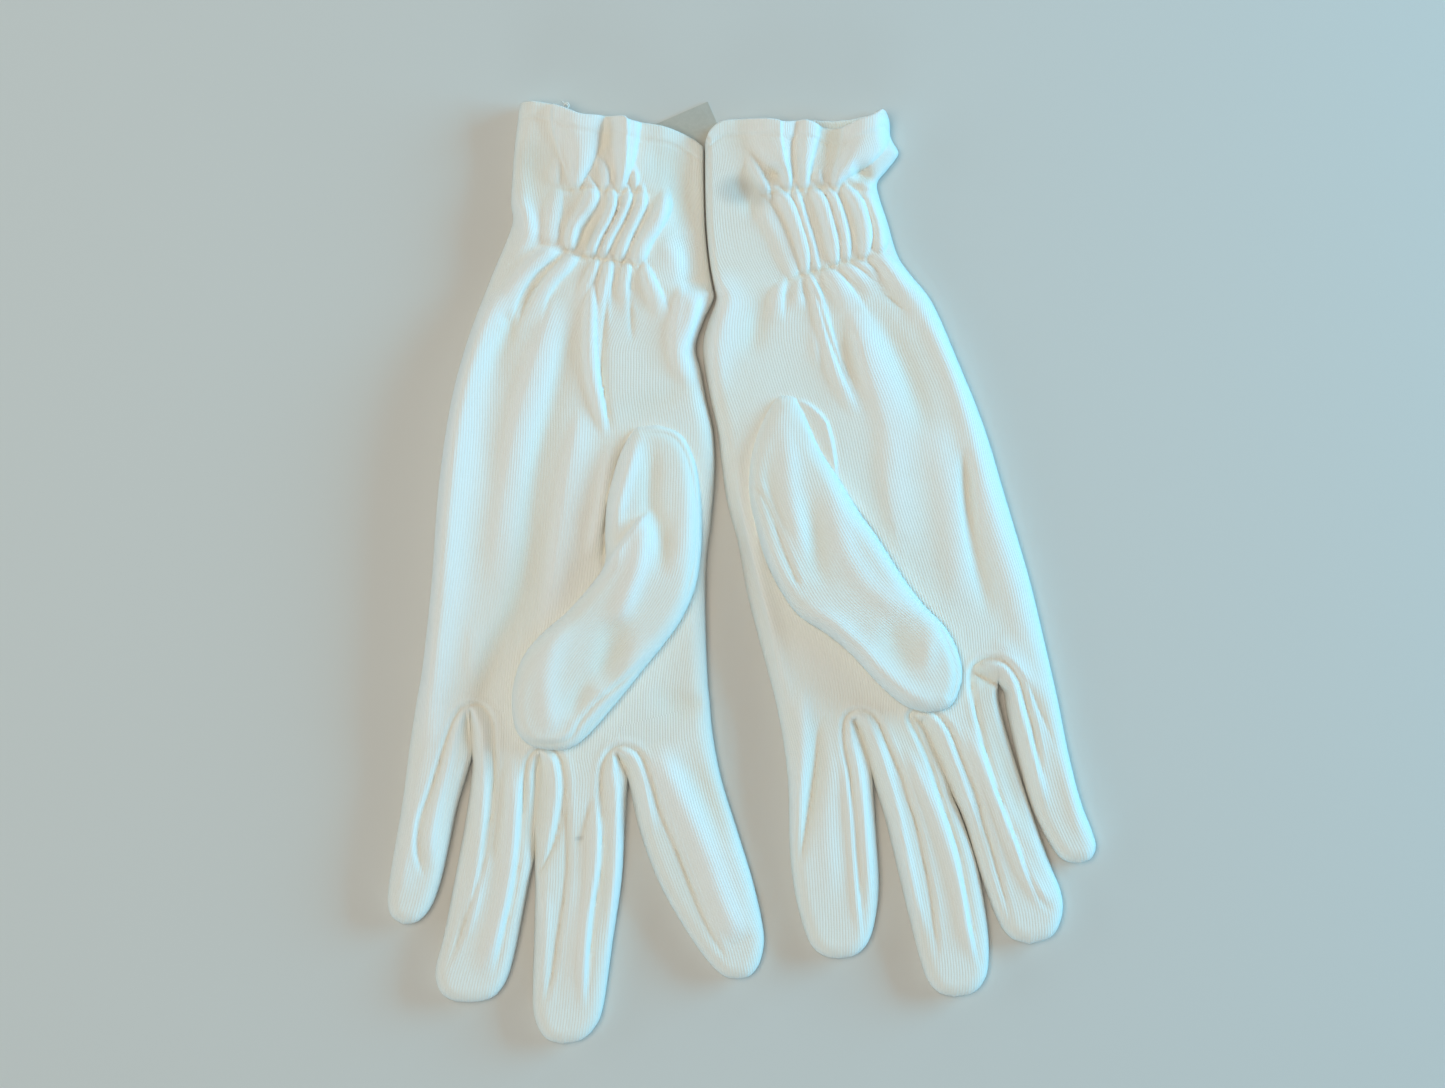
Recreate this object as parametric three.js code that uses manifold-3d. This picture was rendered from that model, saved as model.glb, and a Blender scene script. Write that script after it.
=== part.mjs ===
// A pair of wrist-length knit gloves with gathered wrists, lying palm up with the thumbs folded
// over the palms, and a small plain card tag under the cuffs.
// Millimetres, +Z up, +Y from the fingertips toward the cuffs, +X toward the right glove.

import * as THREE from 'three';
import { mergeVertices } from 'three/addons/utils/BufferGeometryUtils.js';
import Module from 'manifold-3d';

const wasm = await Module();
wasm.setup();

// ---- driving dimensions ----
const WALL = 0.9; // cloth together with its turned seam allowance
const GAP = 0.3; // clearance between neighbouring pieces
const HAND_HEIGHT = 9; // unworn hand, back layer to palm layer
const FINGER_TIP_HEIGHT = 6.4;
const CUFF_LIFT = 1; // the back of the cuff stands this far over the card tag
const LIFT_START = 74; // y where the back layer leaves the surface
const LIFT_END = 92; // y from which the full lift holds
const THUMB_FLOOR = HAND_HEIGHT + 0.4;
const THUMB_HEIGHT = 7;
const SHOULDER = 1.08; // sections are flat in the middle and round toward the sides
const SECTION_POWER = 3;
const HAND_SIDES = 36; // points round one hand section
const HAND_STATIONS = 13;
const STATION_EASE = 1.6; // stations crowd toward the gathered cuff
const STALL_SIDES = 12;
const STALL_STATIONS = 4;
const TIP_ANGLES = [35, 70]; // degrees round the closed end of a stall

const GATHER_LOW = 82; // y where the gathers begin
const GATHER_FULL = 92;
const GATHER_DEPTH = 0.9; // half height of a puff between the elastic rows
const PUFFS = 5;
const RUFFLE_START = 112; // y where the ruffle opens
const RUFFLE_DEPTH = 1.1; // half height of a ruffle fold at the rim
const RUFFLES = 4;
const RIM_REACH = 137; // the hand tube runs past the rim and is trimmed there

const STRIP_MARGIN = 1.9; // side strips of the fingers stop this far from the top and the bottom
const STRIP_DEPTH = 2.2; // how far a strip reaches in from the side
const STRIP_SHARE = 0.84; // share of the finger length with a side strip
const WEB_DEPTH = 0.9;
const ARCH_HALF = 1.1; // half width of the crotch arch near its top

const ELASTIC_WIDTH = 4;
const ELASTIC_THICK = 0.7;
const ELASTIC_TOP = 7.5;
const LABEL_SIZE = [18, 8];
const LABEL_THICK = 0.4;
const CARD_SIZE = [40, 30];
const CARD_THICK = 0.5;
const CARD_CORNER = [-10, 137.5];
const CARD_TURN = 23.5; // degrees the card is turned

// ---- the two gloves; fingers are listed from left to right ----
const LEFT = {
  side: 'left',
  leftRail: [[-63, RIM_REACH], [-66.8, 118], [-68, 102], [-80, 68], [-88.6, 25], [-92.5, -25], [-98, -66]],
  rightRail: [[-12, RIM_REACH], [-11.8, 118], [-9.6, 84], [-13.4, 66], [-8.8, 38], [-10.4, -5], [-10.4, -30], [-5, -66]],
  rim: [[-70, 136.5], [-62, 135.4], [-47, 132.2], [-30, 131], [-18, 125.8], [-8, 119]],
  fingers: [
    { name: 'little', path: [[-88.6, -54], [-93.2, -80], [-97.6, -103]], halves: [8.5, 7.8, 7.4], strips: [1] },
    { name: 'ring', path: [[-69.1, -62], [-73.4, -92], [-80, -125.6]], halves: [10.2, 10.6, 10.4], strips: [-1, 1] },
    { name: 'middle', path: [[-45.4, -63], [-48, -98], [-52, -138]], halves: [11.8, 12, 10.6], strips: [-1, 1] },
    { name: 'index', path: [[-19.8, -57.5], [-11.4, -88], [-0.6, -119]], halves: [12.3, 12.5, 11.4], strips: [-1] },
  ],
  crotches: [[-79.2, -40.5], [-57.6, -53], [-34, -50]],
  thumb: {
    path: [[-25, 42.6], [-26, 20], [-27.6, -5], [-41, -25], [-58, -51]],
    halves: [12, 13.4, 14, 14.6, 13.2],
    hinge: 0.47,
    hole: [[-25.8, 22], [8, 14]],
  },
  elastics: { upper: [[-55, 111], [-26, 109.5]], lower: [[-57, 94], [-22.5, 90]] },
  label: [[-49, 121], -8],
};

const RIGHT = {
  side: 'right',
  leftRail: [[-10.4, RIM_REACH], [-10.2, 112], [-7.6, 82], [-11.4, 66], [-6.4, 36], [-1, 8], [5, -20], [11.5, -60]],
  rightRail: [[43.5, RIM_REACH], [44.2, 122], [40.4, 111], [45, 96], [62.5, 63], [77, 21], [87.6, -20], [99, -66]],
  rim: [[-16, 124], [-9, 126.5], [-3, 129.8], [18, 129.8], [34, 131.6], [50, 133.6]],
  fingers: [
    { name: 'index', path: [[24.9, -53.5], [26.6, -82], [28.4, -113]], halves: [11.6, 12.2, 10.4], strips: [1] },
    { name: 'middle', path: [[49, -57], [56, -88], [62.4, -124]], halves: [10.1, 11.2, 10.4], strips: [-1, 1] },
    { name: 'ring', path: [[67.2, -47], [76, -75], [85.2, -108.6]], halves: [9.4, 10.2, 9.4], strips: [-1, 1] },
    { name: 'little', path: [[85.6, -39.6], [91.6, -61], [99.4, -85.4]], halves: [7.6, 7, 6.2], strips: [-1] },
  ],
  crotches: [[34.4, -41.5], [56, -41.5], [74.4, -27.5]],
  thumb: {
    path: [[14, 51], [15, 34], [20, 13], [35, -9], [57, -41.4]],
    halves: [9, 11.4, 13.6, 14.2, 12],
    hinge: 0.46,
    hole: [[15.4, 31], [7, 12]],
  },
  elastics: { upper: [[8, 108.5], [33, 111.5]], lower: [[9, 85.5], [33, 91]] },
  label: [[-0.5, 118], 4],
};

// ---- small helpers ----
function toSolid(geometry) {
  const bare = new THREE.BufferGeometry();
  bare.setAttribute('position', geometry.getAttribute('position'));
  bare.setIndex(geometry.getIndex());
  const merged = mergeVertices(bare);
  const vertProperties = new Float32Array(merged.getAttribute('position').array);
  const triVerts = new Uint32Array(merged.getIndex().array);
  const solid = new wasm.Manifold(new wasm.Mesh({ numProp: 3, vertProperties, triVerts }));
  if (solid.volume() > 0) {
    return solid;
  }
  triVerts.reverse();
  return new wasm.Manifold(new wasm.Mesh({ numProp: 3, vertProperties, triVerts }));
}

function toNode(name, solid, material) {
  const mesh = solid.getMesh();
  const geometry = new THREE.BufferGeometry();
  geometry.setAttribute('position', new THREE.BufferAttribute(mesh.vertProperties, 3));
  geometry.setIndex(new THREE.BufferAttribute(mesh.triVerts, 1));
  const node = new THREE.Mesh(geometry, material.clone());
  node.name = name;
  return node;
}

function prism(outline, bottom, top) {
  const shape = new THREE.Shape(outline.map(([x, y]) => new THREE.Vector2(x, y)));
  const geometry = new THREE.ExtrudeGeometry(shape, { depth: top - bottom, bevelEnabled: false });
  geometry.translate(0, 0, bottom);
  return toSolid(geometry);
}

function ellipse([x, y], [across, along]) {
  const curve = new THREE.EllipseCurve(x, y, across, along);
  return curve.getPoints(20).slice(1).map((point) => [point.x, point.y]);
}

function smooth(value, from, to) {
  return THREE.MathUtils.smoothstep(value, from, to);
}

// Rings of equal length, joined side by side, with a fan over each end.
function loft(rings) {
  const sides = rings[0].length;
  const points = rings.flat();
  const faces = [];
  for (let ring = 0; ring + 1 < rings.length; ring += 1) {
    for (let side = 0; side < sides; side += 1) {
      const here = ring * sides + side;
      const next = ring * sides + ((side + 1) % sides);
      faces.push(here, here + sides, next);
      faces.push(next, here + sides, next + sides);
    }
  }
  for (const [ring, forward] of [[0, true], [rings.length - 1, false]]) {
    const centre = points.length;
    const sum = new THREE.Vector3();
    rings[ring].forEach((point) => sum.add(point));
    points.push(sum.divideScalar(sides));
    for (let side = 0; side < sides; side += 1) {
      const here = ring * sides + side;
      const next = ring * sides + ((side + 1) % sides);
      faces.push(centre, ...(forward ? [here, next] : [next, here]));
    }
  }
  const geometry = new THREE.BufferGeometry().setFromPoints(points);
  geometry.setIndex(faces);
  return toSolid(geometry);
}

// One closed section between two side points: flat in the middle, round at the shoulders.
function section(leftPoint, rightPoint, low, high, sides, fold = () => 0) {
  const ring = [];
  for (let side = 0; side < sides; side += 1) {
    const angle = (2 * Math.PI * side) / sides;
    const across = Math.sign(Math.cos(angle)) * Math.abs(Math.cos(angle)) ** (2 / SECTION_POWER);
    const upright = Math.sign(Math.sin(angle)) * Math.abs(Math.sin(angle)) ** (2 / SECTION_POWER);
    const height = THREE.MathUtils.clamp(SHOULDER * upright, -1, 1);
    const spot = leftPoint.clone().lerp(rightPoint, (1 + across) / 2);
    spot.z = (low + high) / 2 + (height * (high - low)) / 2 + Math.max(height, 0) * fold(across, spot.y);
    ring.push(spot);
  }
  return ring;
}

function flat([x, y]) {
  return new THREE.Vector3(x, y, 0);
}

// ---- hand ----
function backHeight(y) {
  return CUFF_LIFT * smooth(y, LIFT_START, LIFT_END);
}

// The gathers stand up between the elastic rows and the ruffle waves grow toward the rim.
function gather(across, y) {
  const puffed = smooth(y, GATHER_LOW, GATHER_FULL) * (1 - smooth(y, RUFFLE_START - 6, RUFFLE_START));
  const ruffled = smooth(y, RUFFLE_START, RIM_REACH);
  const puff = GATHER_DEPTH * puffed * (1 + Math.cos(PUFFS * Math.PI * across));
  const ruffle = RUFFLE_DEPTH * ruffled * (1 + Math.cos(RUFFLES * Math.PI * across));
  return puff + ruffle;
}

function handLoft(glove, inset) {
  const left = new THREE.CatmullRomCurve3(glove.leftRail.map(flat));
  const right = new THREE.CatmullRomCurve3(glove.rightRail.map(flat));
  const rings = [];
  for (let station = 0; station <= HAND_STATIONS; station += 1) {
    const share = (station / HAND_STATIONS) ** STATION_EASE;
    const leftPoint = left.getPointAt(share);
    const rightPoint = right.getPointAt(share);
    const middle = (leftPoint.y + rightPoint.y) / 2;
    const inward = rightPoint.clone().sub(leftPoint).normalize().multiplyScalar(inset);
    const low = backHeight(middle) + inset;
    const high = HAND_HEIGHT + backHeight(middle) - inset;
    rings.push(section(leftPoint.add(inward), rightPoint.sub(inward), low, high, HAND_SIDES, gather));
  }
  if (inset > 0) {
    rings[0].forEach((point) => { point.y += 1; });
    rings[HAND_STATIONS].forEach((point) => { point.y -= 1; });
  }
  return loft(rings);
}

function rootFrame(finger) {
  const [root, middle, tip] = finger.path.map(flat);
  const along = new THREE.CatmullRomCurve3([root, middle, tip]).getTangent(0);
  const across = new THREE.Vector3(-along.y, along.x, 0);
  return { root, along, across };
}

// A root corner of a finger; side is -1 for its left corner and 1 for its right corner.
function rootCorner(finger, side, extra) {
  const { root, along, across } = rootFrame(finger);
  const corner = root.addScaledVector(along, -GAP / 2);
  return corner.addScaledVector(across, side * (finger.halves[0] + extra)).toArray().slice(0, 2);
}

// The crotch between two fingers, seen from above, widened by a margin on the hand side.
function archPoints(glove, index, margin) {
  const [x, y] = glove.crotches[index];
  const half = ARCH_HALF + margin;
  const arch = [[x + half, y - 2.4], [x + half * 0.7, y - 0.9], [x, y], [x - half * 0.7, y - 0.9], [x - half, y - 2.4]];
  const right = rootCorner(glove.fingers[index + 1], -1, -margin);
  const left = rootCorner(glove.fingers[index], 1, -margin);
  return [right, ...arch.map(([px, py]) => [px, py + margin]), left];
}

function handPlan(glove) {
  const outline = [...glove.rim].reverse();
  outline.push(rootCorner(glove.fingers[0], -1, 4));
  for (let index = 0; index < 3; index += 1) {
    outline.push(...archPoints(glove, index, 0).reverse());
  }
  outline.push(rootCorner(glove.fingers[3], 1, 4));
  return outline;
}

function handPanels(glove) {
  const { side, thumb } = glove;
  const plan = handPlan(glove);
  const shell = handLoft(glove, 0).subtract(handLoft(glove, WALL)).intersect(prism(plan, -1, 20));
  const middle = HAND_HEIGHT / 2;
  const around = [[-200, -200], [200, -200], [200, 200], [-200, 200]];
  const hole = prism(ellipse(...thumb.hole), middle, 20);
  const palm = shell.intersect(prism(around, middle + GAP / 2, 20)).subtract(hole);
  const back = shell.intersect(prism(around, -1, middle - GAP / 2));
  return [
    toNode(`${side}_palm_panel`, palm, KNIT),
    toNode(`${side}_back_panel`, back, KNIT),
  ];
}

function crotchWeb(glove, index) {
  const bottom = WALL + GAP;
  const top = HAND_HEIGHT - WALL - GAP;
  const wide = prism(archPoints(glove, index, WEB_DEPTH), bottom, top);
  const web = wide.intersect(prism(handPlan(glove), bottom, top));
  const pair = `${glove.fingers[index].name}_${glove.fingers[index + 1].name}`;
  return toNode(`${glove.side}_web_${pair}`, web, KNIT);
}

// ---- fingers and thumbs ----
function widthAt(halves, share) {
  const place = share * (halves.length - 1);
  const index = Math.min(Math.floor(place), halves.length - 2);
  return THREE.MathUtils.lerp(halves[index], halves[index + 1], place - index);
}

// Stations along a stall: share of the path, and how far the section has closed (1 open, 0 shut).
function tipStations(start, reach, length, roundness) {
  const straight = reach - roundness / length;
  const stations = [];
  for (let step = 0; step <= STALL_STATIONS; step += 1) {
    stations.push([THREE.MathUtils.lerp(start, straight, step / STALL_STATIONS), 1]);
  }
  for (const degrees of TIP_ANGLES) {
    const angle = THREE.MathUtils.degToRad(degrees);
    stations.push([straight + (Math.sin(angle) * roundness) / length, Math.cos(angle)]);
  }
  return stations;
}

function stallRing(curve, halves, [share, closing], inset, low, high) {
  const inside = THREE.MathUtils.clamp(share, 0, 1);
  const centre = curve.getPointAt(inside);
  const along = curve.getTangentAt(inside);
  centre.addScaledVector(along, (share - inside) * curve.getLength());
  const across = new THREE.Vector3(-along.y, along.x, 0);
  const half = (widthAt(halves, inside) - inset) * closing;
  const middle = (low + high) / 2;
  const rise = ((high - low) / 2 - inset) * Math.sqrt(closing);
  const left = centre.clone().addScaledVector(across, -half);
  const right = centre.clone().addScaledVector(across, half);
  return section(left, right, middle - rise, middle + rise, STALL_SIDES);
}

function fingerLoft(finger, inset) {
  const curve = new THREE.CatmullRomCurve3(finger.path.map(flat));
  const length = curve.getLength();
  const start = (inset > 0 ? -1 : GAP / 2) / length;
  const stations = tipStations(start, 1 - inset / length, length, finger.halves[2] - inset);
  const rings = stations.map((station) => {
    return stallRing(curve, finger.halves, station, inset, 0, heightAt(station[0]));
  });
  return loft(rings);
}

function heightAt(share) {
  return THREE.MathUtils.lerp(HAND_HEIGHT, FINGER_TIP_HEIGHT, Math.max(share, 0));
}

// The region of one side strip, grown by a margin where the stall is cut back for it.
function stripRegion(finger, side, margin) {
  const curve = new THREE.CatmullRomCurve3(finger.path.map(flat));
  const ends = { 0: -margin - 1, [STALL_STATIONS]: margin };
  const rings = [];
  for (let step = 0; step <= STALL_STATIONS; step += 1) {
    const share = (step / STALL_STATIONS) * STRIP_SHARE;
    const along = curve.getTangentAt(share);
    const across = new THREE.Vector3(-along.y, along.x, 0).multiplyScalar(side);
    const centre = curve.getPointAt(share).addScaledVector(along, ends[step] ?? 0);
    const half = widthAt(finger.halves, share);
    const outer = centre.clone().addScaledVector(across, half + 2);
    const inner = centre.clone().addScaledVector(across, half - STRIP_DEPTH - margin);
    const low = STRIP_MARGIN - margin;
    const high = heightAt(share) - STRIP_MARGIN + margin;
    const corners = [[outer, low], [outer, high], [inner, high], [inner, low]];
    rings.push(corners.map(([spot, z]) => new THREE.Vector3(spot.x, spot.y, z)));
  }
  return loft(rings);
}

function fingerNodes(glove, finger) {
  const label = `${glove.side}_${finger.name}`;
  const shell = fingerLoft(finger, 0).subtract(fingerLoft(finger, WALL));
  let stall = shell;
  const nodes = [];
  for (const side of finger.strips) {
    stall = stall.subtract(stripRegion(finger, side, GAP));
    const strip = shell.intersect(stripRegion(finger, side, 0));
    nodes.push(toNode(`${label}_fourchette_${side < 0 ? 'a' : 'b'}`, strip, KNIT));
  }
  nodes.push(toNode(`${label}_stall`, stall, KNIT));
  return nodes;
}

function thumbLoft(thumb, inset) {
  const curve = new THREE.CatmullRomCurve3(thumb.path.map(flat));
  const length = curve.getLength();
  const back = (thumb.halves[0] - inset) / length;
  const stations = tipStations(back + inset / length, 1 - inset / length, length, thumb.halves[4] - inset);
  const closed = TIP_ANGLES.map((degrees) => {
    const angle = THREE.MathUtils.degToRad(degrees);
    return [inset / length + back * (1 - Math.sin(angle)), Math.cos(angle)];
  });
  const rings = [...closed.reverse(), ...stations].map((station) =>
    stallRing(curve, thumb.halves, station, inset, THUMB_FLOOR, THUMB_FLOOR + THUMB_HEIGHT));
  return loft(rings);
}

// Everything on the cuff side (-1) or the tip side (1) of the line the thumb folds along.
function thumbSide(thumb, side) {
  const curve = new THREE.CatmullRomCurve3(thumb.path.map(flat));
  const along = curve.getTangentAt(thumb.hinge).multiplyScalar(side);
  const across = new THREE.Vector3(-along.y, along.x, 0);
  const near = curve.getPointAt(thumb.hinge).addScaledVector(along, GAP / 2);
  const far = near.clone().addScaledVector(along, 90);
  const corners = [[near, -40], [far, -40], [far, 40], [near, 40]];
  const outline = corners.map(([spot, reach]) => spot.clone().addScaledVector(across, reach));
  return prism(outline.map((spot) => [spot.x, spot.y]), 0, 30);
}

function thumbNodes(glove) {
  const { side, thumb } = glove;
  const shell = thumbLoft(thumb, 0).subtract(thumbLoft(thumb, WALL));
  const hole = prism(ellipse(...thumb.hole), 0, THUMB_FLOOR + THUMB_HEIGHT / 2);
  const root = shell.intersect(thumbSide(thumb, -1)).subtract(hole);
  const stall = shell.intersect(thumbSide(thumb, 1));
  return [
    toNode(`${side}_thumb_root`, root, KNIT),
    toNode(`${side}_thumb_stall`, stall, KNIT),
  ];
}

// ---- small parts ----
function elastic(glove, row) {
  const [[x0, y0], [x1, y1]] = glove.elastics[row];
  const half = ELASTIC_WIDTH / 2;
  const outline = [[x0, y0 - half], [x1, y1 - half], [x1, y1 + half], [x0, y0 + half]];
  const strip = prism(outline, ELASTIC_TOP - ELASTIC_THICK, ELASTIC_TOP);
  return toNode(`${glove.side}_elastic_${row}`, strip, ELASTIC);
}

function turned([x, y], [width, depth], degrees) {
  const corners = [[0, 0], [0, -depth], [width, -depth], [width, 0]];
  const angle = THREE.MathUtils.degToRad(degrees);
  return corners.map(([u, v]) => {
    const spot = new THREE.Vector2(u, v).rotateAround(new THREE.Vector2(), angle);
    return [x + spot.x, y + spot.y];
  });
}

function label(glove) {
  const [corner, degrees] = glove.label;
  const bottom = CUFF_LIFT + WALL + GAP;
  const patch = prism(turned(corner, LABEL_SIZE, degrees), bottom, bottom + LABEL_THICK);
  return toNode(`${glove.side}_label`, patch, WOVEN);
}

function cardTag() {
  const [width, depth] = CARD_SIZE;
  const angle = THREE.MathUtils.degToRad(CARD_TURN);
  const corner = [CARD_CORNER[0] - width * Math.cos(angle), CARD_CORNER[1] - width * Math.sin(angle)];
  return toNode('card_tag', prism(turned(corner, [width, depth], CARD_TURN), 0, CARD_THICK), CARD);
}

// ---- materials ----
const KNIT = new THREE.MeshStandardMaterial({ color: 0xe8e6dc, roughness: 0.9, metalness: 0 });
const ELASTIC = new THREE.MeshStandardMaterial({ color: 0xf2efe6, roughness: 0.7, metalness: 0 });
const WOVEN = new THREE.MeshStandardMaterial({ color: 0xc9c8c4, roughness: 0.6, metalness: 0 });
const CARD = new THREE.MeshStandardMaterial({ color: 0xb5b2aa, roughness: 0.85, metalness: 0 });

// ---- assembly ----
function gloveNodes(glove) {
  const nodes = [...handPanels(glove), ...thumbNodes(glove)];
  glove.fingers.forEach((finger) => nodes.push(...fingerNodes(glove, finger)));
  glove.crotches.forEach((_, index) => nodes.push(crotchWeb(glove, index)));
  nodes.push(elastic(glove, 'upper'), elastic(glove, 'lower'), label(glove));
  return nodes;
}

const gloves = new THREE.Group();
gloves.name = 'gathered_knit_gloves';
gloves.add(...gloveNodes(LEFT), ...gloveNodes(RIGHT), cardTag());

export default gloves;
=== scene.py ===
"""A pair of gathered knit gloves lying palm up, with a plain card tag under the cuffs.

Lengths in the shape tables are millimetres in the model's frame: +X to the right glove,
+Y to the cuffs, +Z up from the surface that the gloves lie on.
"""
import math

import bpy
import numpy as np
from bpy.props import FloatProperty, FloatVectorProperty, PointerProperty
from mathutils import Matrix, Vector


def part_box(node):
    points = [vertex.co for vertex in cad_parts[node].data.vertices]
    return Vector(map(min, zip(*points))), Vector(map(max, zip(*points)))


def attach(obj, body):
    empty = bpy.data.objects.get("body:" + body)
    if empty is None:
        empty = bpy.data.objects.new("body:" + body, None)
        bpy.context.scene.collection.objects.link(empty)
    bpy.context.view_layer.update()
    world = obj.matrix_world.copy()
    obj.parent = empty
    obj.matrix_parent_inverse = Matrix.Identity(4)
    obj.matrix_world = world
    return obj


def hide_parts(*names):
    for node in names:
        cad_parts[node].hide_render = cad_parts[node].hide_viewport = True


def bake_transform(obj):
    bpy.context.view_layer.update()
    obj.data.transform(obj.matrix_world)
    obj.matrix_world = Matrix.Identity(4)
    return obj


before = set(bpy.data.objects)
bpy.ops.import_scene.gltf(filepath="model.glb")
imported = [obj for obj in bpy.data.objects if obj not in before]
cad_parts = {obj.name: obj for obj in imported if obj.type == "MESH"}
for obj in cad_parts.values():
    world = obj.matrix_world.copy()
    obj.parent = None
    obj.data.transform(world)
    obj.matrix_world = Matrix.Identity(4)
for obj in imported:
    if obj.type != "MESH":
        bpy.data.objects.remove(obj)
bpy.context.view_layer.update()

bl_info = {
    "name": "Gathered knit gloves",
    "version": (1, 0, 0),
    "blender": (4, 5, 0),
    "location": "View3D > Sidebar > Gloves",
    "description": "Makes a pair of gathered knit gloves with a card tag, and a studio for them",
    "category": "Add Mesh",
}

MM = 0.001
SIDES = ("left", "right")

OUTER_RADIUS = 5.2  # rounding of the outside edges
TIGHT_RADIUS = 2.3  # where two layers press together: the crotches and the two cuffs
TIP_RADIUS = 4.4
RADIUS_RUN = 28  # length over which a finger's radius changes
THUMB_RADIUS = 4.8
MIDDLE_SHARE = 0.42  # palm and back meet at this share of the height
WEB_RISE = 0.34  # and this much higher on the strips between the fingers
SOFT_GAIN = 1.25
SEAM_DEPTH, SEAM_WELT = 1.15, 0.35
THUMB_SEAM_DEPTH, THUMB_SEAM_WELT = 0.7, 0.25
HAND_LENGTH = 172  # rim to root line
LINING_LENGTH = 30
LINING_END_HEIGHT = 2.9
MARK_FLOOR = 4  # marks are on the palm side only, above this height
FINGER_COLUMNS, THUMB_COLUMNS = 45, 61
COLUMN_CROWD = 0.6
LAST_SHARE = 0.9985  # a finger's last ring stands just before its tip
SHARP_ANGLE = 72
ELASTIC_HALF_WIDTH, ELASTIC_THICKNESS, ELASTIC_DEPTH = 1.9, 0.6, 1.2
LABEL_HALF_LENGTH, LABEL_HALF_WIDTH, LABEL_THICKNESS = 9, 4, 0.35
LABEL_TURN = {"left": -8, "right": 4}
THREAD_RADIUS = 0.2
WAVE_LENGTH = 0.314  # of the wave texture at scale 1
FLOOR_HALF_SIZE = 1500
CAMERA_PLACE = (-0.00565, 0.0081, 0.858)
CAMERA_SENSOR = 36
CAMERA_LENS = CAMERA_SENSOR * 0.85 / 0.419
AIR_COLOUR, AIR_STRENGTH = (0.9, 0.95, 1.0, 1), 0.08
SKY, DUSK, LAMP_GLOW = (0.17, 0.67, 1.0), (0.5, 0.82, 1.0), (1.0, 0.89, 0.72)
# Name, place, width and height, watts and colour.  Every lamp points at the frame's origin.
LAMPS = (
    ("window_right", (1.05, 0.3, 0.32), (0.8, 0.4), 15.0, SKY),
    ("window_left", (-1.05, 0.2, 0.3), (1.0, 0.4), 3.0, DUSK),
    ("window_cuff", (0.1, 1.1, 0.3), (1.0, 0.4), 1.6, DUSK),
    ("window_fingers", (0, -1.1, 0.3), (1.0, 0.4), 3.6, DUSK),
    ("ceiling", (-0.25, 0.1, 1.3), (0.7, 0.7), 9.6, LAMP_GLOW),
)


def fold_rows(height, half_width, *spots, first=None, last=None):
    """Rows of a fold that keeps one height and half width, except at its first and last spots,
    where it fades to nothing or to the height and half width given."""
    rows = [(x, y, height, half_width) for x, y in spots]
    rows[0] = spots[0] + (first or (0, half_width))
    rows[-1] = spots[-1] + (last or (0, half_width))
    return rows


# ---------------------------------------------------------------- shapes of the two gloves

# Where two fingers part: the points that the rails of both share, from the root down.
LEFT_CROTCHES = (
    [(-79, -40.4), (-78.9, -47), (-78.6, -53)],
    [(-58.9, -53.2), (-59.4, -60), (-59.9, -67), (-60.3, -76), (-60.5, -83)],
    [(-36.1, -53.2), (-34.6, -56.6), (-33.4, -59.8)],
)
RIGHT_CROTCHES = (
    [(32.8, -43.4), (34.7, -48), (36.6, -53.4), (38, -59.4)],
    [(52.3, -43.6), (54.6, -49.6), (57.4, -55.6), (59.6, -60.5), (61.4, -65.2)],
)
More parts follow.
